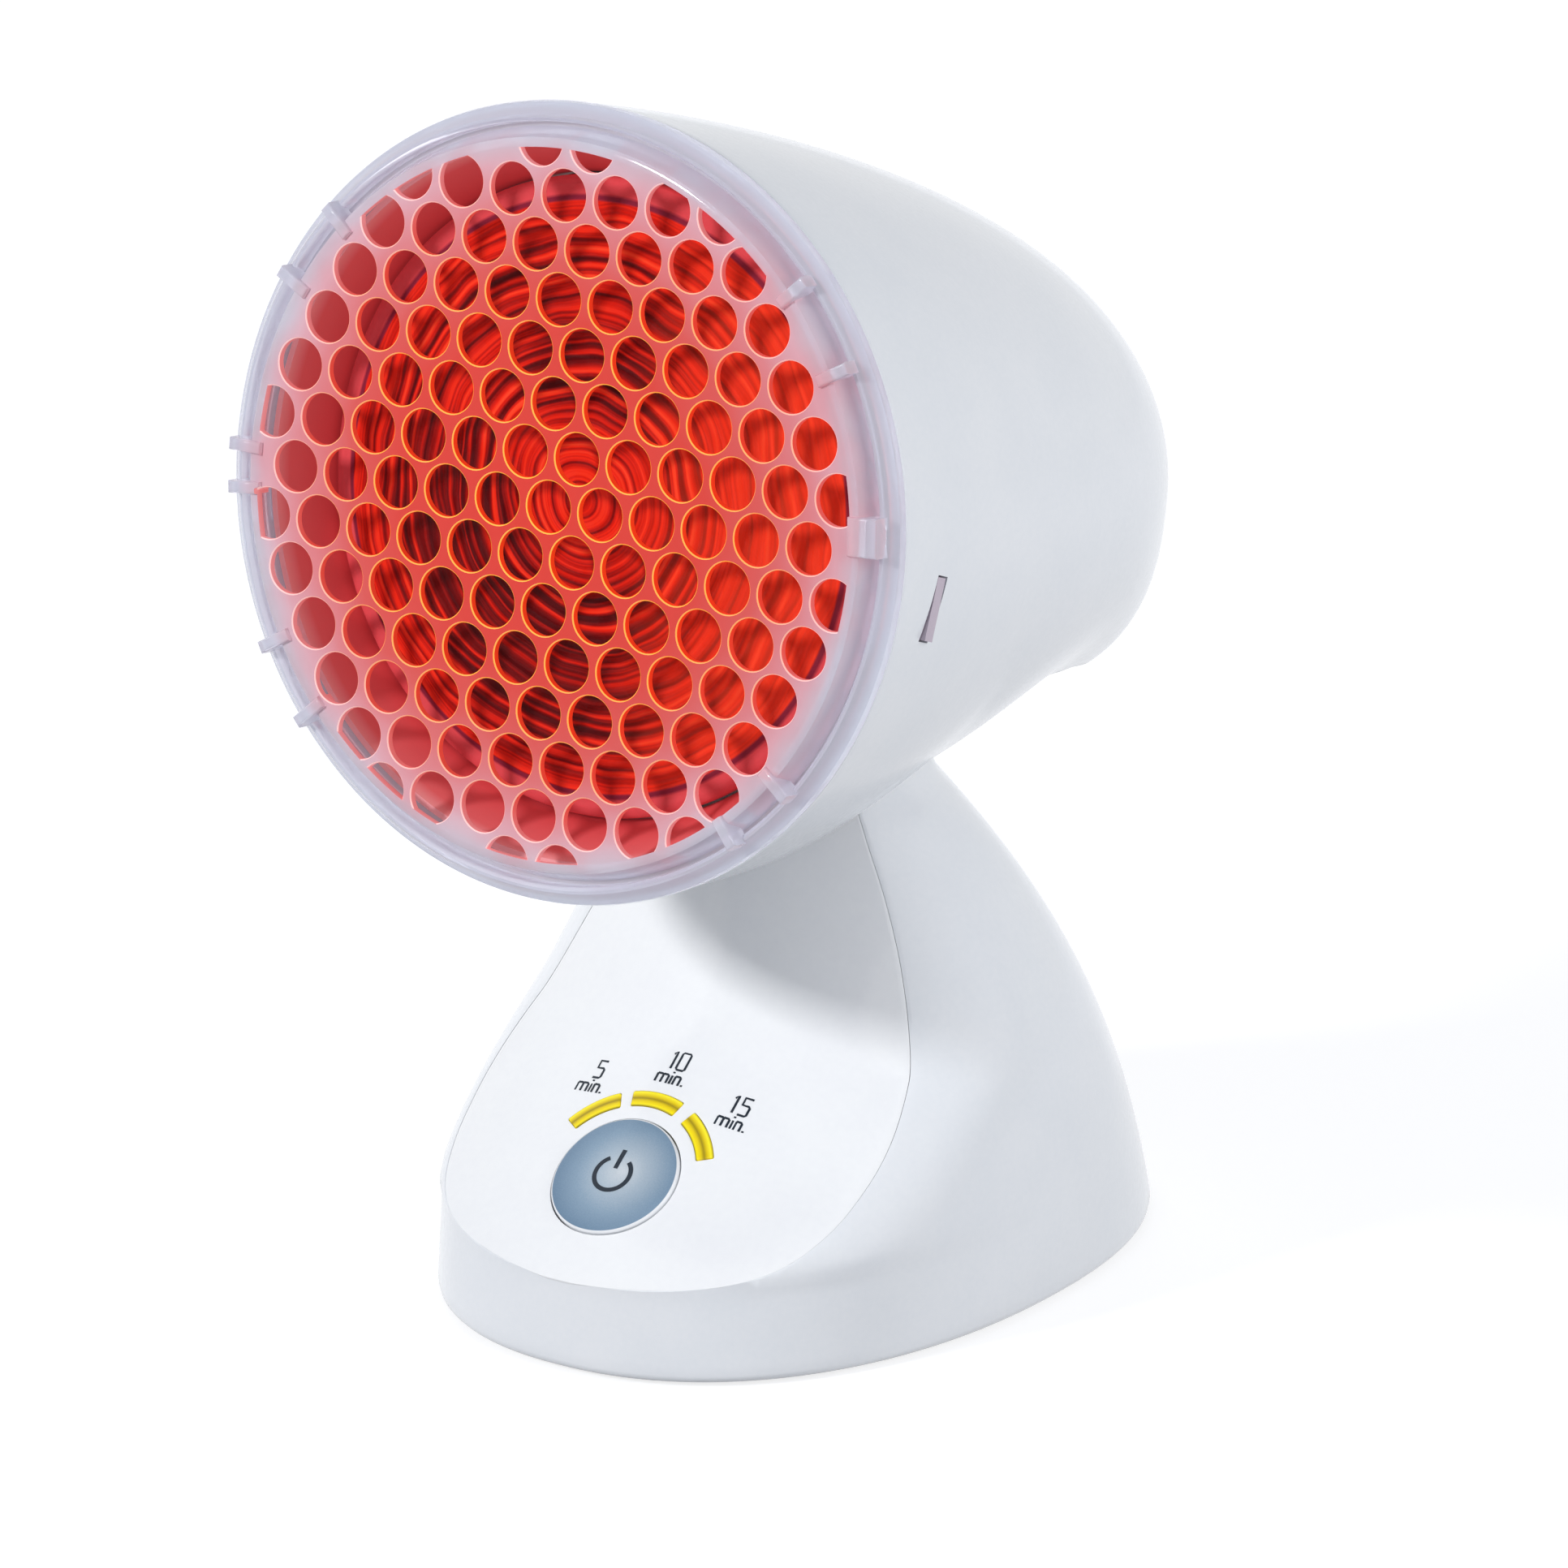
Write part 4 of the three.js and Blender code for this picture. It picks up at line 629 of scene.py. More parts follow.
guardPiece = makeGuard()
print("guard made")


# Head: the bulb's pressed red lens, and the funnel round it

lens = {
    "radius": 60.5, "front": 4, "crown": 6, "wall": 3, "edge": 1, "sides": 160,
    "ribs": 3.1, "ribHeight": 0.28, "ribsFrom": 5, "ribsOver": 4, "step": 0.5,
}
funnel = {
    "mouth": 67.7, "mouthAt": 0.6, "throat": 60.9, "throatAt": 12, "wall": 1.2, "end": 25.2,
    "flange": 69.6, "flangeAt": 24, "sides": 160,
}


def makeLens():
    s = lens
    sphere = (s["radius"] ** 2 + s["crown"] ** 2) / (2 * s["crown"])
    ribbed = s["radius"] - s["edge"]
    count = round(ribbed / s["step"])
    rows = []
    for i in range(count + 1):
        r = ribbed * i / count
        swell = clamp((r - s["ribsFrom"]) / s["ribsOver"])  # the ribs grow out of a plain middle
        rib = s["ribHeight"] * (0.5 - 0.5 * cos(tau * r / s["ribs"])) * swell
        rows.append((r, s["front"] + sphere - sqrt(sphere ** 2 - r ** 2) + rib))
    edge = s["front"] + s["crown"]
    back = edge + s["wall"]
    rows += [(s["radius"] - 0.3, edge + 0.1), (s["radius"], edge + 0.6), (s["radius"], back)]
    rows += [(s["radius"] * share, back - s["crown"] * (1 - share ** 2)) for share in (0.9, 0.6, 0.3, 0)]
    piece = turned("bulbLens", rows, s["sides"])
    return placeBy(piece, turnedPlace)


def makeFunnel():
    f = funnel
    outer, seat = f["throat"] + f["wall"], f["throat"] + f["wall"] / 2
    piece = turned("shieldFunnel", [
        (f["mouth"], f["mouthAt"]), (f["mouth"] + f["wall"], f["mouthAt"]),
        (outer, f["throatAt"] + f["wall"]), (outer, f["end"]), (f["throat"], f["end"]),
        (f["throat"], f["throatAt"] + 1), (f["throat"] + 0.3, f["throatAt"]),
        (f["mouth"] - 0.2, f["mouthAt"] + 0.6), (f["mouth"], f["mouthAt"]),
    ], f["sides"])
    flange = turnedBand("shieldFlange", seat, f["flange"], f["flangeAt"], f["end"], f["sides"])
    combine(piece, flange, "UNION")
    return placeBy(piece, turnedPlace)


lensPiece = makeLens()
funnelPiece = makeFunnel()
print("lens and funnel made")


# Base: flared body, cut in front by the surface of the panel, with the neck's knuckle on top

base = {
    "halfWidth": 60.2, "front": 87.2, "panelFront": 85.4, "rear": 74.82, "widestY": 7.3,
    "shoulder": 95, "edge": 1.6, "topHalf": 24.5, "topRear": 23.3,
    "sideFall": 2.87, "rearFall": 1.14, "square": 2.21, "squareRange": (1.2, 3.2),
    "wall": 3.4, "hollowTop": 82, "pivot": (15.825, 124.53), "knuckle": 12, "neckHalf": 13,
    "axle": 3.2, "boreHalf": 40, "glandHole": 7.3, "glandHeight": 15, "glandReach": 110,
    "around": 144, "rows": 44, "neckRows": 12, "hollowAround": 72, "hollowRows": 20,
    "neckSide": [(0, 1), (0.2, 0.6), (0.42, 0.15), (0.58, 0), (1, 0)],
    "neckRear": [(0, 0), (0.2, 0.2), (0.42, 0.5), (0.58, 0.8), (1, 1)],
    "ahead": [(17.2, 0.15), (19, 1.8), (22, 4), (30, 5), (95, 4)],  # of the panel, by height
}
panel = {
    "lean": controlAxes["turn"], "knee": (-37.15, 49.22), "top": (-8.8, 95), "topLean": 63,
    "below": 70, "above": 95, "crown": 72, "cutHalf": 65.2, "cutFront": -175,
    "thickness": 2.4, "bedGap": 0.3, "rim": 0.6, "gap": 0.04, "lowest": 17.2, "bedLow": 17, "upper": 94,
    "rows": 80, "bedRows": 70, "columns": 72, "crowd": 1.7, "bevel": 0.15,
}
seam = [  # height and half width of the panel's outline
    (17.25, 3), (17.5, 9), (17.8, 15), (18.3, 21.8), (19, 28.2), (20.1, 33.8), (21.8, 38.3),
    (23.5, 40.8), (25.5, 42.6), (28.4, 44.3), (32, 45.3), (36, 45.8), (40, 45.6), (44, 44.8),
    (48, 43.6), (52, 42.1), (56, 40.5), (60, 38.9), (64.5, 37), (69.4, 34.8), (74, 32.5),
    (78.8, 29.9), (83.5, 27.1), (88, 24.2), (91.5, 22), (95, 19.8),
]


def panelLine(depth, steps=20):
    # side view of the panel's surface: flat under the controls, then a curve up to the neck
    p = panel
    lean, topLean = radians(p["lean"]), radians(p["topLean"])
    knee = (p["knee"][0] + depth * sin(lean), p["knee"][1] - depth * cos(lean))
    top = (p["top"][0] + depth * sin(topLean), p["top"][1] - depth * cos(topLean))
    across = cos(lean) * sin(topLean) - sin(lean) * cos(topLean)
    run = ((top[0] - knee[0]) * sin(topLean) - (top[1] - knee[1]) * cos(topLean)) / across
    turn = (knee[0] + run * cos(lean), knee[1] + run * sin(lean))
    line = [(knee[0] - p["below"] * cos(lean), knee[1] - p["below"] * sin(lean))]
    for i in range(steps + 1):
        t = i / steps
        line.append(tuple(
            (1 - t) ** 2 * k + 2 * t * (1 - t) * m + t ** 2 * e for k, m, e in zip(knee, turn, top)
        ))
    line.append((top[0] + p["above"] * cos(topLean), top[1] + p["above"] * sin(topLean)))
    return line


def panelY(x, height, depth=0):
    line = panelLine(depth)
    for (y0, z0), (y1, z1) in zip(line, line[1:]):
        if height <= z1:
            break
    radius = panel["crown"] - depth
    return y0 + (y1 - y0) * (height - z0) / (z1 - z0) + radius - sqrt(radius ** 2 - x ** 2)


def seamHalf(height):
    return through(seam, clamp(height, seam[0][0], seam[-1][0]))


def baseSizes(height, inset):
    # half width, front and rear of the base's outline at a height, and how square its front is
    b = base
    share = clamp(height / b["shoulder"])
    side = b["topHalf"] + (b["halfWidth"] - b["topHalf"]) * (1 - share ** b["sideFall"])
    rear = b["topRear"] + (b["rear"] - b["topRear"]) * (1 - share ** b["rearFall"])
    power = b["square"]
    if height > panel["lowest"]:  # the front passes through the panel's outline
        level = min(height, b["shoulder"])
        front = b["widestY"] - panelY(0, level) + through(b["ahead"], level)
        half = seamHalf(level) + panel["rim"]
        across, depth = half / side, (b["widestY"] - panelY(half, level)) / front
        low, high = b["squareRange"]
        for i in range(24):  # halves the range until the outline meets the seam
            power = (low + high) / 2
            low, high = (power, high) if across ** power + depth ** power > 1 else (low, power)
    else:
        front = b["front"] - (b["front"] - b["panelFront"]) * height / panel["lowest"]
    if height > b["shoulder"]:  # the neck narrows to its knuckle
        level = (height - b["shoulder"]) / (b["pivot"][1] - b["shoulder"])
        toTop = clamp(through(b["neckRear"], level))
        side = b["neckHalf"] + (b["topHalf"] - b["neckHalf"]) * clamp(through(b["neckSide"], level))
        rear += (b["pivot"][0] + b["knuckle"] - b["widestY"] - rear) * toTop
        front += (b["widestY"] - b["pivot"][0] + b["knuckle"] - front) * toTop
    return side - inset, front - inset, rear - inset, power


def baseRing(height, inset=0, count=base["around"]):
    side, front, rear, frontPower = baseSizes(height, inset)
    ring = []
    for i in range(count):
        across, back = cos(tau * i / count), sin(tau * i / count)
        power = 2 / (frontPower if back < 0 else base["square"])
        depth = front if back < 0 else rear
        y = base["widestY"] + depth * rounded(back, power)
        ring.append((side * rounded(across, power), y, height))
    return ring


def aheadOfPanel():
    # everything ahead of the panel's surface
    radius, half, front = panel["crown"], panel["cutHalf"], panel["cutFront"]
    arc = [half * (1 - i / 28) for i in range(57)]
    return loft("aheadOfPanel", [
        [(x, y + radius - sqrt(radius ** 2 - x ** 2), z) for x in arc]
        + [(-half, front, z), (half, front, z)]
        for y, z in panelLine(0)
    ])


def bedRing(height):
    # the bed of the panel at a height: its bowed floor, and forwards out of the body
    half, depth = seamHalf(height) + panel["gap"], panel["thickness"] + panel["bedGap"]
    floor = [half * (1 - i / 16) for i in range(33)]
    ring = [(x, panelY(x, height, depth), height) for x in floor]
    return ring + [(-half, panel["cutFront"], height), (half, panel["cutFront"], height)]


def makeBase():
    b, p = base, panel
    neck = b["pivot"][1] - b["shoulder"]
    turn = [radians(angle) for angle in (0, 30, 60, 90)]
    rings = [baseRing(b["edge"] * (1 - cos(a)), b["edge"] * (1 - sin(a))) for a in turn]
    for i in range(1, b["rows"] + 1):
        rings.append(baseRing(b["edge"] + (b["shoulder"] - b["edge"]) * i / b["rows"]))
    for i in range(1, b["neckRows"] + 1):
        rings.append(baseRing(b["shoulder"] + neck * i / b["neckRows"]))
    shell = loft("baseShell", rings)
    combine(shell, aheadOfPanel())
    knuckle = rod("knuckle", b["knuckle"], -b["neckHalf"], b["neckHalf"], 96)
    bevelEdges(knuckle, isSharp, 0.6, 3)
    atPivot = shift(0, *b["pivot"]) @ about("Y", 90)
    placeBy(knuckle, atPivot)
    combine(shell, knuckle, "UNION")
    combine(shell, loft("hollow", [
        baseRing((b["hollowTop"] + 1) * i / b["hollowRows"] - 1, b["wall"], b["hollowAround"])
        for i in range(b["hollowRows"] + 1)
    ]))
    combine(shell, loft("panelBed", [
        bedRing(p["bedLow"] + (p["upper"] - p["bedLow"]) * (i / p["bedRows"]) ** p["crowd"])
        for i in range(p["bedRows"] + 1)
    ]))
    combine(shell, placeBy(rod("axleBore", b["axle"], -b["boreHalf"], b["boreHalf"], 48), atPivot))
    hole = rod("glandHole", b["glandHole"], 0, b["glandReach"], 48)
    combine(shell, placeBy(hole, shift(0, b["widestY"], b["glandHeight"]) @ about("X", -90)))
    return placeBy(shell, basePlace)


baseShell = makeBase()
print("base made")


# Panel: one bowed skin that ends just inside the base's rim, with openings for the controls

button = {
    "radius": 13.1, "gap": 0.3, "proud": 1, "edge": 0.7, "edgeDrop": 0.3, "bowedAbove": -3,
    "crown": [(0, 0.1), (0.25, 0.09), (0.5, 0.03), (0.75, -0.1), (0.88, -0.2)],  # share out, rise
    "under": [(14.6, -3.7), (14.6, -5.1), (3, -5.1), (3, -7.1), (0, -7.1)],  # flange and stem
}
lights = {
    "radius": 18, "width": 3.4, "halfAngle": 17, "places": {"5": 132, "10": 90, "15": 46},
    "proud": 0.25, "low": -5, "gap": 0.12, "corner": 0.4, "edge": 0.2,
}
openings = (-9, 5)  # from behind the panel to its front, for the button and the lights


def lightBar(name, angle, grow, low, high):
    s = lights
    reach = s["width"] / 2 + grow
    span = radians(s["halfAngle"]) + grow / s["radius"]

    def pointAt(u, v):
        radius, turn = s["radius"] + reach * (1 - 2 * v), radians(angle) + span * (2 * u - 1)
        return radius * cos(turn), radius * sin(turn), high

    piece = gridSurface(name, 24, 4, pointAt)
    editAll(piece)
    bpy.ops.mesh.normals_make_consistent()
    bpy.ops.mesh.extrude_region_move(TRANSFORM_OT_translate={"value": (0, 0, (low - high) * mm)})
    objectMode()
    closeMesh(piece)
    upright = 0.5 * mm  # only the four corners stand this tall
    bevelEdges(
        piece, lambda edge: isSharp(edge) and abs(edge.verts[0].co.z - edge.verts[1].co.z) > upright,
        s["corner"], 4,
    )
    return piece


def makePanel():
    p, lowest = panel, seam[0][0]
    heights = [
        lowest + (p["upper"] - lowest) * (i / p["rows"]) ** p["crowd"] for i in range(p["rows"] + 1)
    ]
    halves = [seamHalf(height) for height in heights]

    def pointAt(u, v):
        i = round(v * p["rows"])
        x = halves[i] * (2 * u - 1)
        return x, panelY(x, heights[i]), heights[i]

    piece = gridSurface("frontPanel", p["columns"], p["rows"], pointAt)
    if piece.data.polygons[len(piece.data.polygons) // 2].normal.y > 0:  # it has to face forwards
        editAll(piece)
        bpy.ops.mesh.flip_normals()
        objectMode()
    applyModifier(piece, "SOLIDIFY", thickness=p["thickness"] * mm, offset=-1)
    closeMesh(piece, caps=False)
    bevelEdges(piece, isSharp, p["bevel"], 2)
    placeBy(piece, controlPlace.inverted() @ basePlace)
    cutters = [rod("buttonHole", button["radius"] + button["gap"], *openings, 96)]
    for angle in lights["places"].values():
        cutters.append(lightBar("lightHole", angle, lights["gap"], *openings))
    combine(piece, joinPieces(cutters[0], cutters[1:]))
    return placeBy(piece, controlPlace)


panelPiece = makePanel()


def bendOnPanel(piece, above=-beyond):
    # lowers what lies on the flat drawing plane onto the panel, which bows away from its middle
    crown, lean = panel["crown"], radians(panel["lean"])
    for vertex in piece.data.vertices:
        if vertex.co.z > above * mm:
            bow = crown - sqrt(crown ** 2 - (vertex.co.x / mm) ** 2)
            vertex.co.z -= bow * sin(lean) * mm


lightPieces = {}
for word, angle in lights["places"].items():
    window = lightBar("lightWindow" + word, angle, 0, lights["low"], lights["proud"])
    bevelEdges(
        window, lambda edge: isSharp(edge) and all(v.co.z > 0 for v in edge.verts), lights["edge"], 2,
    )
    bendOnPanel(window)
    placeBy(window, controlPlace)
    lightPieces[word] = window
print("panel and lights made")


# Power button: a crowned disc that follows the panel's bow, with its symbol printed on it

def makeButton():
    b = button
    rim, top = b["radius"], b["proud"] - b["edgeDrop"]
    rows = [(rim * share, b["proud"] + rise) for share, rise in b["crown"]]
    for a in [radians(angle) for angle in (0, 30, 60, 90)]:
        rows.append((rim - b["edge"] * (1 - sin(a)), top - b["edge"] * (1 - cos(a))))
    rows += [(rim, b["under"][0][1]), *b["under"]]
    piece = turned("powerButton", rows, 96)
    bendOnPanel(piece, b["bowedAbove"])
    return placeBy(piece, controlPlace)


symbol = {"radius": 3.75, "stroke": 0.9, "gap": 35, "bar": (1.2, 3, 5.5), "height": 0.14, "lift": 0.02}


def stroke(name, points, width, height, low):
    # a printed line: a flat ribbon along a row of points, with square ends
    rows = []
    for i, (x, y) in enumerate(points):
        (x0, y0), (x1, y1) = points[max(i - 1, 0)], points[min(i + 1, len(points) - 1)]
        size = hypot(x1 - x0, y1 - y0)
        rows.append((x, y, -(y1 - y0) / size * width / 2, (x1 - x0) / size * width / 2))
    last = len(rows) - 1

    def pointAt(u, v):
        x, y, across, up = rows[round(u * last)]
        return x + across * (2 * v - 1), y + up * (2 * v - 1), low

    ribbon = gridSurface(name, last, 1, pointAt)
    applyModifier(ribbon, "SOLIDIFY", thickness=height * mm, offset=1)
    closeMesh(ribbon, caps=False)
    return ribbon


def makeSymbol():
    s = symbol
    arc = [radians(90 + s["gap"] + (360 - 2 * s["gap"]) * i / 40) for i in range(41)]
    ring = [(s["radius"] * cos(a), s["radius"] * sin(a)) for a in arc]
    low = button["proud"] + s["lift"]
    piece = stroke("powerSymbol", ring, s["stroke"], s["height"], low)
    joinPieces(piece, [stroke("bar", [(0, y) for y in s["bar"]], s["stroke"], s["height"], low)])
    bendOnPanel(piece)
    return placeBy(piece, controlPlace)


buttonPiece = makeButton()
symbolPiece = makeSymbol()


# Words of the timer lights, drawn as thin squared strokes

labels = {"stroke": 0.44, "gap": 0.24, "height": 0.09, "lift": 0.01}  # the gap in shares of a letter
glyphs = {  # strokes in shares of the height, after the width of the letter in the same shares
    "5": (0.5, [[(0.48, 1), (0.04, 1), (0.04, 0.58), (0.4, 0.58), (0.48, 0.5), (0.48, 0.08),
                 (0.4, 0), (0.02, 0)]]),
    "1": (0.22, [[(0.0, 0.82), (0.16, 1), (0.16, 0)]]),
    "0": (0.5, [[(0.25, 1), (0.08, 1), (0, 0.92), (0, 0.08), (0.08, 0), (0.42, 0), (0.5, 0.08),
                 (0.5, 0.92), (0.42, 1), (0.25, 1)]]),
    "m": (0.9, [[(0, 0), (0, 0.68)], [(0, 0.68), (0.36, 0.68), (0.45, 0.6), (0.45, 0)],
                [(0.45, 0.68), (0.8, 0.68), (0.9, 0.6), (0.9, 0)]]),
    "i": (0.06, [[(0.03, 0), (0.03, 0.68)], [(0.03, 0.88), (0.03, 1)]]),
    "n": (0.44, [[(0, 0), (0, 0.68)], [(0, 0.68), (0.35, 0.68), (0.44, 0.6), (0.44, 0)]]),
    ".": (0.1, [[(0.05, 0), (0.05, 0.12)]]),
}
words = [  # text, middle of the word on the panel, height of its letters
    ("5", (-15.9, 22.2), 3.9), ("min.", (-16.2, 18.3), 2.8),
    ("10", (0.3, 27.4), 3.9), ("min.", (0.3, 23.5), 2.8),
    ("15", (17.1, 21.8), 3.9), ("min.", (16.9, 17.9), 2.8),
]


def makeLabels():
    pieces = []
    for text, (middleX, middleY), tall in words:
        total = sum(glyphs[letter][0] for letter in text) + labels["gap"] * (len(text) - 1)
        x = -total / 2
        for letter in text:
            width, lines = glyphs[letter]
            for line in lines:
                points = [(middleX + (x + a) * tall, middleY + (b - 0.5) * tall) for a, b in line]
                pieces.append(stroke("label", points, labels["stroke"], labels["height"], labels["lift"]))
            x += width + labels["gap"]
    piece = joinPieces(pieces[0], pieces[1:])
    piece.name = "timerLabels"
    bendOnPanel(piece)
    return placeBy(piece, controlPlace)


labelPiece = makeLabels()
print("button and labels made")


# Rubber parts: the feet and the gland of the lead

feet = {
    "profile": [(0, -0.8), (5.6, -0.8), (6.5, -0.65), (7, -0.2), (7, 0.7), (0, 0.7)],
    "places": {
        "front_left": (-34, -50), "front_right": (34, -50),
        "rear_left": (-34, 54), "rear_right": (34, 54),
    },
}
gland = {  # radii, and at the outer end how far they lie before its face
    "bore": 3.4, "radius": 7,
    "end": [(7, -3.5), (6.9, -3.2), (6.2, -0.8), (5.7, -0.2), (5.2, 0), (4, 0), (3.4, -0.5)],
}


def makeFoot(x, y):
    piece = turned("foot", feet["profile"], 48)
    return placeBy(piece, Matrix.Translation((Vector((x, y, 0)) + lampShift) * mm))


def makeGland():
    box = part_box("cord_gland")
    rear, start, z = box[1][1] / mm, box[0][1] / mm, (box[0][2] + box[1][2]) / 2
    outer = [(radius, rear - start + along) for radius, along in gland["end"]]
    rows = [(gland["bore"], 0), (gland["radius"], 0), *outer, (gland["bore"], 0)]
    piece = turned("cordGland", rows, 64)
    return placeBy(piece, Matrix.Translation((0, start * mm, z)) @ about("X", -90))


footPieces = {word: makeFoot(*place) for word, place in feet["places"].items()}
glandPiece = makeGland()
print("feet and gland made")


# Finishes that follow the head's or the controls' own axes

# pressed ruby glass: bright red with dark rings, a painted reflection of the ribs turning the view past
# the mirror
def rubyGlass():
    finish, tree, shader, place = newFinish("pressedRubyGlass", {
        "Roughness": 0.25, "IOR": 1.52, "Specular IOR Level": 0.1, "Emission Strength": 0.16,
    })
    inHead = ownCoordinates(tree, headAxes)
    radius = radiusFrom(tree, inHead, 1)
    sway = addNode(tree, "TexNoise", {"Vector": inHead, "Scale": 0.04, "Detail": 2})
    wavy = addNode(tree, "Math", [sway, 7, radius], operation="MULTIPLY_ADD")
    rings = {"W": wavy, "Scale": 0.55, "Detail": 2}
    rings = addNode(tree, "TexNoise", rings, noise_dimensions="1D")
    # the painted reflection rings lie between the bright middle and the edge, and leave the right side
    # free
    across = addNode(tree, "SeparateXYZ", [inHead], out="X")
    patches = addNode(tree, "TexNoise", {"Vector": inHead, "Scale": 0.035, "Detail": 1})
    zone = addNode(tree, "MapRange", [radius, 7, 22])
    for fade in ([radius, 58, 44], [across, 34, 6, 0.1, 1], [patches, 0.35, 0.6, 0.2, 1]):
        share = addNode(tree, "MapRange", fade)
        zone = addNode(tree, "Math", [zone, share], operation="MULTIPLY")
    level = addNode(tree, "Math", [zone, -0.22, rings], operation="MULTIPLY_ADD")
    colour = addNode(tree, "ValToRGB", [level], [
        (0.16, "#4e070b"), (0.28, "#6e0d0e"), (0.36, "#951410"), (0.44, "#c21d12"), (0.54, "#df2917"),
        (0.72, "#ee4628"),
    ])
    # painted light makes it warmer to the right, then a dark line and a paler edge
    for fade, over in (
        ([across, 8, 40, 0, 0.55], "#ea4528"), ([radius, 55.6, 56], "#7c2438"),
        ([radius, 56.6, 57.2], "#cf4a50"),
    ):
        share = addNode(tree, "MapRange", fade)
        colour = addNode(tree, "Mix", {0: share, 6: colour, 7: linear(over)}, out=2, data_type="RGBA")
    fillSockets(tree, shader, {
        "Base Color": colour, "Emission Color": colour, "Normal": softRelief(tree, place, 1.3, 0.35, 0.2),
    })
    return finish


# vacuum-coated steel of the shield, which throws back the lens's red: that red is a painted reflection,
# given a faint glow as well
def shieldFinish():
    finish, tree, shader, place = newFinish("coatedShieldSteel", {
        "Metallic": 0.1, "Roughness": 0.35, "Emission Strength": 0.2,
    })
    depth = addNode(tree, "SeparateXYZ", [ownCoordinates(tree, headAxes)], out="Y")
    level = addNode(tree, "MapRange", [depth, 0, 26])
    colour = addNode(tree, "ValToRGB", [level], [
        (0, "#e8a9ab"), (0.12, "#d8686b"), (0.42, "#cf484c"), (0.5, "#9a3038"), (1, "#c9b6b6"),
    ])
    fillSockets(tree, shader, {
        "Base Color": colour, "Emission Color": colour, "Normal": softRelief(tree, place, 0.3, 0.1, 0.2),
    })
    return finish


# silver-blue metallic lacquer over plastic: fine flake, with a painted reflection that is paler in the
# middle, painted shade to one side, and a painted highlight as a white edge
def buttonLacquer():
    finish, tree, shader, place = newFinish("silverBlueLacquer", {
        "Metallic": 0.25, "Roughness": 0.32, "Coat Weight": 0.5, "Coat Roughness": 0.08,
    })
    onPanel = ownCoordinates(tree, controlAxes)
    # the painted reflection's middle is set off to one side, so the far side takes painted shade
    shifted = addNode(tree, "Mapping", {"Vector": onPanel, "Location": (-2, -1, 0)})
    radius = radiusFrom(tree, shifted, 2)
    flake = addNode(tree, "TexNoise", {"Vector": place, "Scale": 4, "Detail": 2})
    speckled = addNode(tree, "Math", [flake, 3, radius], operation="MULTIPLY_ADD")
    level = addNode(tree, "MapRange", [speckled, 0, 17])
    colour = addNode(tree, "ValToRGB", [level], [
        (0.05, "#dfe5ea"), (0.35, "#b5c5d2"), (0.65, "#88a2b9"), (1, "#5b7c9a"),
    ])
    # a thin white ring at the rim: a painted highlight
    edge = addNode(tree, "MapRange", [radiusFrom(tree, onPanel, 2), 12.65, 12.75])
    colour = addNode(tree, "Mix", {0: edge, 6: colour, 7: linear("#f3f5f8")}, out=2, data_type="RGBA")
    relief = addNode(tree, "Bump", {"Height": flake, "Strength": 0.2, "Distance": 0.05 * mm})
    fillSockets(tree, shader, {"Base Color": colour, "Normal": relief})
    return finish


# dyed acrylic light pipe, lit from behind: even yellow with a darker line along its middle
def lightPipe():
    finish, tree, shader, place = newFinish("amberAcrylic", {
        "Roughness": 0.2, "IOR": 1.49, "Emission Strength": 0.12, "Emission Color": linear("#ffe600"),
    })
    radius = radiusFrom(tree, ownCoordinates(tree, controlAxes), 2)
    middle, half = lights["radius"], lights["width"] / 2
    level = addNode(tree, "MapRange", [radius, middle - half, middle + half])
    colour = addNode(tree, "ValToRGB", [level], [
        (0, "#8f8000"), (0.1, "#fbe600"), (0.32, "#e2c600"), (0.5, "#8a7200"), (0.68, "#dcc000"),
        (0.9, "#fff02a"), (1, "#b5a200"),
    ])
    fillSockets(tree, shader, {
        "Base Color": colour, "Normal": softRelief(tree, place, 1, 0.1, 0.05, detail=1),
    })
    return finish


finishes.update({
    "clear_grille": clearGuard, "red_glass": rubyGlass(), "shield_metal": shieldFinish(),
    "silver_blue_button": buttonLacquer(), "amber_window": lightPipe(),
})
# pad-printed ink: dark slate, slightly raised and satin
printInk = surfaceFinish("padPrintedInk", ("#16202c", "#1f2b38"), 0.4, (0.35, 0.5), 0.1, {"IOR": 1.5})


# Each new piece rides on its body, stands for its nodes and takes its finish

def finishPiece(piece, body, nodes, slotName, finish=None, smooth=35):
    if not any(piece.data.materials):  # the guard has its finishes already
        piece.data.materials.clear()
        piece.data.materials.append(finish or finishes[slotName])
    makeActive(piece)
    bpy.ops.object.shade_smooth_by_angle(angle=radians(smooth))
    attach(piece, body)
    if nodes:
        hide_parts(*nodes)


finishPiece(headShell, "head", ["head_shell"], "white_shell")
finishPiece(guardPiece, "head", ["grille"], "clear_grille")
finishPiece(lensPiece, "head", ["bulb_lens"], "red_glass", smooth=60)
finishPiece(funnelPiece, "head", ["heat_shield"], "shield_metal")
finishPiece(baseShell, "base", ["base_shell"], "white_shell")
finishPiece(panelPiece, "base", ["front_panel"], "white_panel")
for word, window in lightPieces.items():
    finishPiece(window, "base", [f"led_window_{word}_min"], "amber_window")
finishPiece(buttonPiece, "button", ["power_button"], "silver_blue_button")
finishPiece(symbolPiece, "button", [], "silver_blue_button", printInk)
finishPiece(labelPiece, "base", [], "white_panel", printInk)
for word, foot in footPieces.items():
    finishPiece(foot, "base", ["foot_" + word], "black_rubber")
finishPiece(glandPiece, "base", ["cord_gland"], "black_rubber")

# The parts inside keep their CAD shape
for part in frame["record"]["subparts"]:
    node = frame["nodes"][part["node"]]
    for materialSlot in node.material_slots:
        materialSlot.material = finishes[part["material_slot"]]
print("finishes given")


# Floor, lamps and background

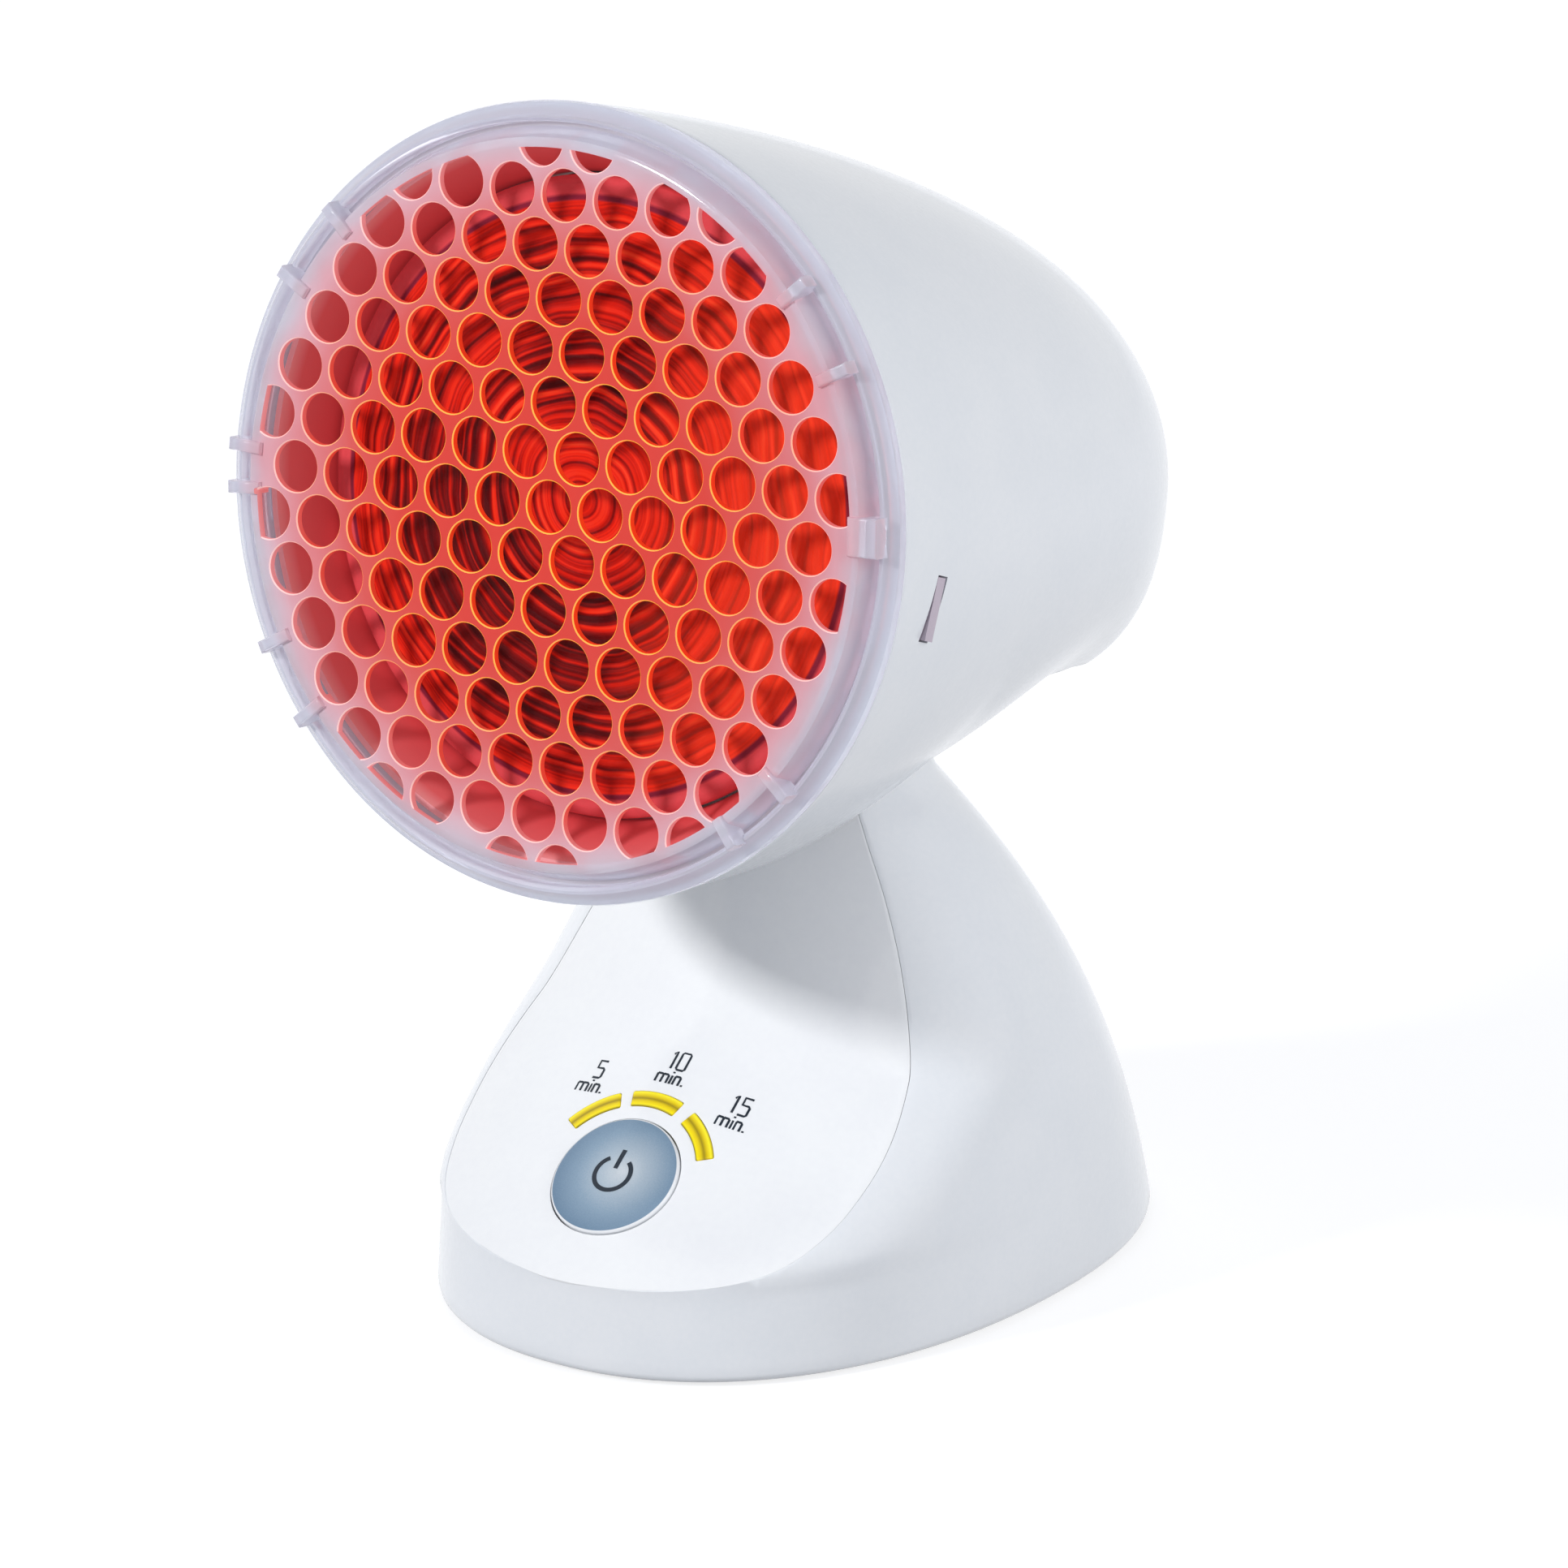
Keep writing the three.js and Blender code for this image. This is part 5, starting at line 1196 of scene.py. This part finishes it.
studio = {
    "floor": "#a0a1a4", "lift": 0.76, "world": 0.27, "worldColour": "#dde7f8",
    "key": {"place": (-0.66, -1.41, 0.92), "size": 0.2, "power": 19},
    "fill": {"place": (1.7, 0.05, 0.7), "size": 1.4, "power": 19},
    "rear": {"place": (-1.25, 1.35, 0.75), "size": 1.4, "power": 12},
    "aim": (0, 0, 0.12),
}


def seenPlainly(tree):
    # 1 for the eye, also in a mirror or through glass, and 0 for the light on the object
    seen = addNode(tree, "LightPath", out="Is Camera Ray")
    for ray in ("Is Glossy Ray", "Is Transmission Ray"):
        seen = addNode(tree, "Math", [seen, addNode(tree, "LightPath", out=ray)], operation="MAXIMUM")
    return seen


deselectAll()
bpy.ops.mesh.primitive_plane_add(size=8, location=(0, 0, 0))
floor = newPiece("floor")
floorPaper = bpy.data.materials.new("whitePaperFloor")
floorPaper.use_nodes = True
tree = floorPaper.node_tree
shader = tree.nodes["Principled BSDF"]
fillSockets(tree, shader, {"Base Color": linear(studio["floor"]), "Roughness": 0.9})
# to the eye the paper is lifted to white, and keeps a faint shadow
glow = addNode(tree, "Emission", {"Color": (1, 1, 1, 1), "Strength": studio["lift"]})
lifted = addNode(tree, "AddShader", [shader.outputs[0], glow])
mixed = addNode(tree, "MixShader", [seenPlainly(tree), shader.outputs[0], lifted])
fillSockets(tree, tree.nodes["Material Output"], {"Surface": mixed})
floor.data.materials.append(floorPaper)

for name in ("key", "fill", "rear"):
    lamp = studio[name]
    deselectAll()
    bpy.ops.object.light_add(type="AREA", location=lamp["place"])
    panelLamp = newPiece(name + "Lamp")
    panelLamp.data.size = lamp["size"]
    panelLamp.data.energy = lamp["power"]
    panelLamp.visible_glossy = False  # no bright square in the glossy shell
    towards = Vector(studio["aim"]) - Vector(lamp["place"])
    panelLamp.rotation_euler = towards.to_track_quat("-Z", "Y").to_euler()

world = bpy.data.worlds.new("paleRoom")
bpy.context.scene.world = world
world.use_nodes = True
tree = world.node_tree
background = tree.nodes["Background"]
fillSockets(tree, background, {"Color": linear(studio["worldColour"]), "Strength": studio["world"]})
white = addNode(tree, "Background", {"Color": (1, 1, 1, 1), "Strength": 1})
mixed = addNode(tree, "MixShader", [seenPlainly(tree), background.outputs[0], white])
fillSockets(tree, tree.nodes["World Output"], {"Surface": mixed})
bpy.context.scene.view_settings.view_transform = "Standard"
print("studio set")
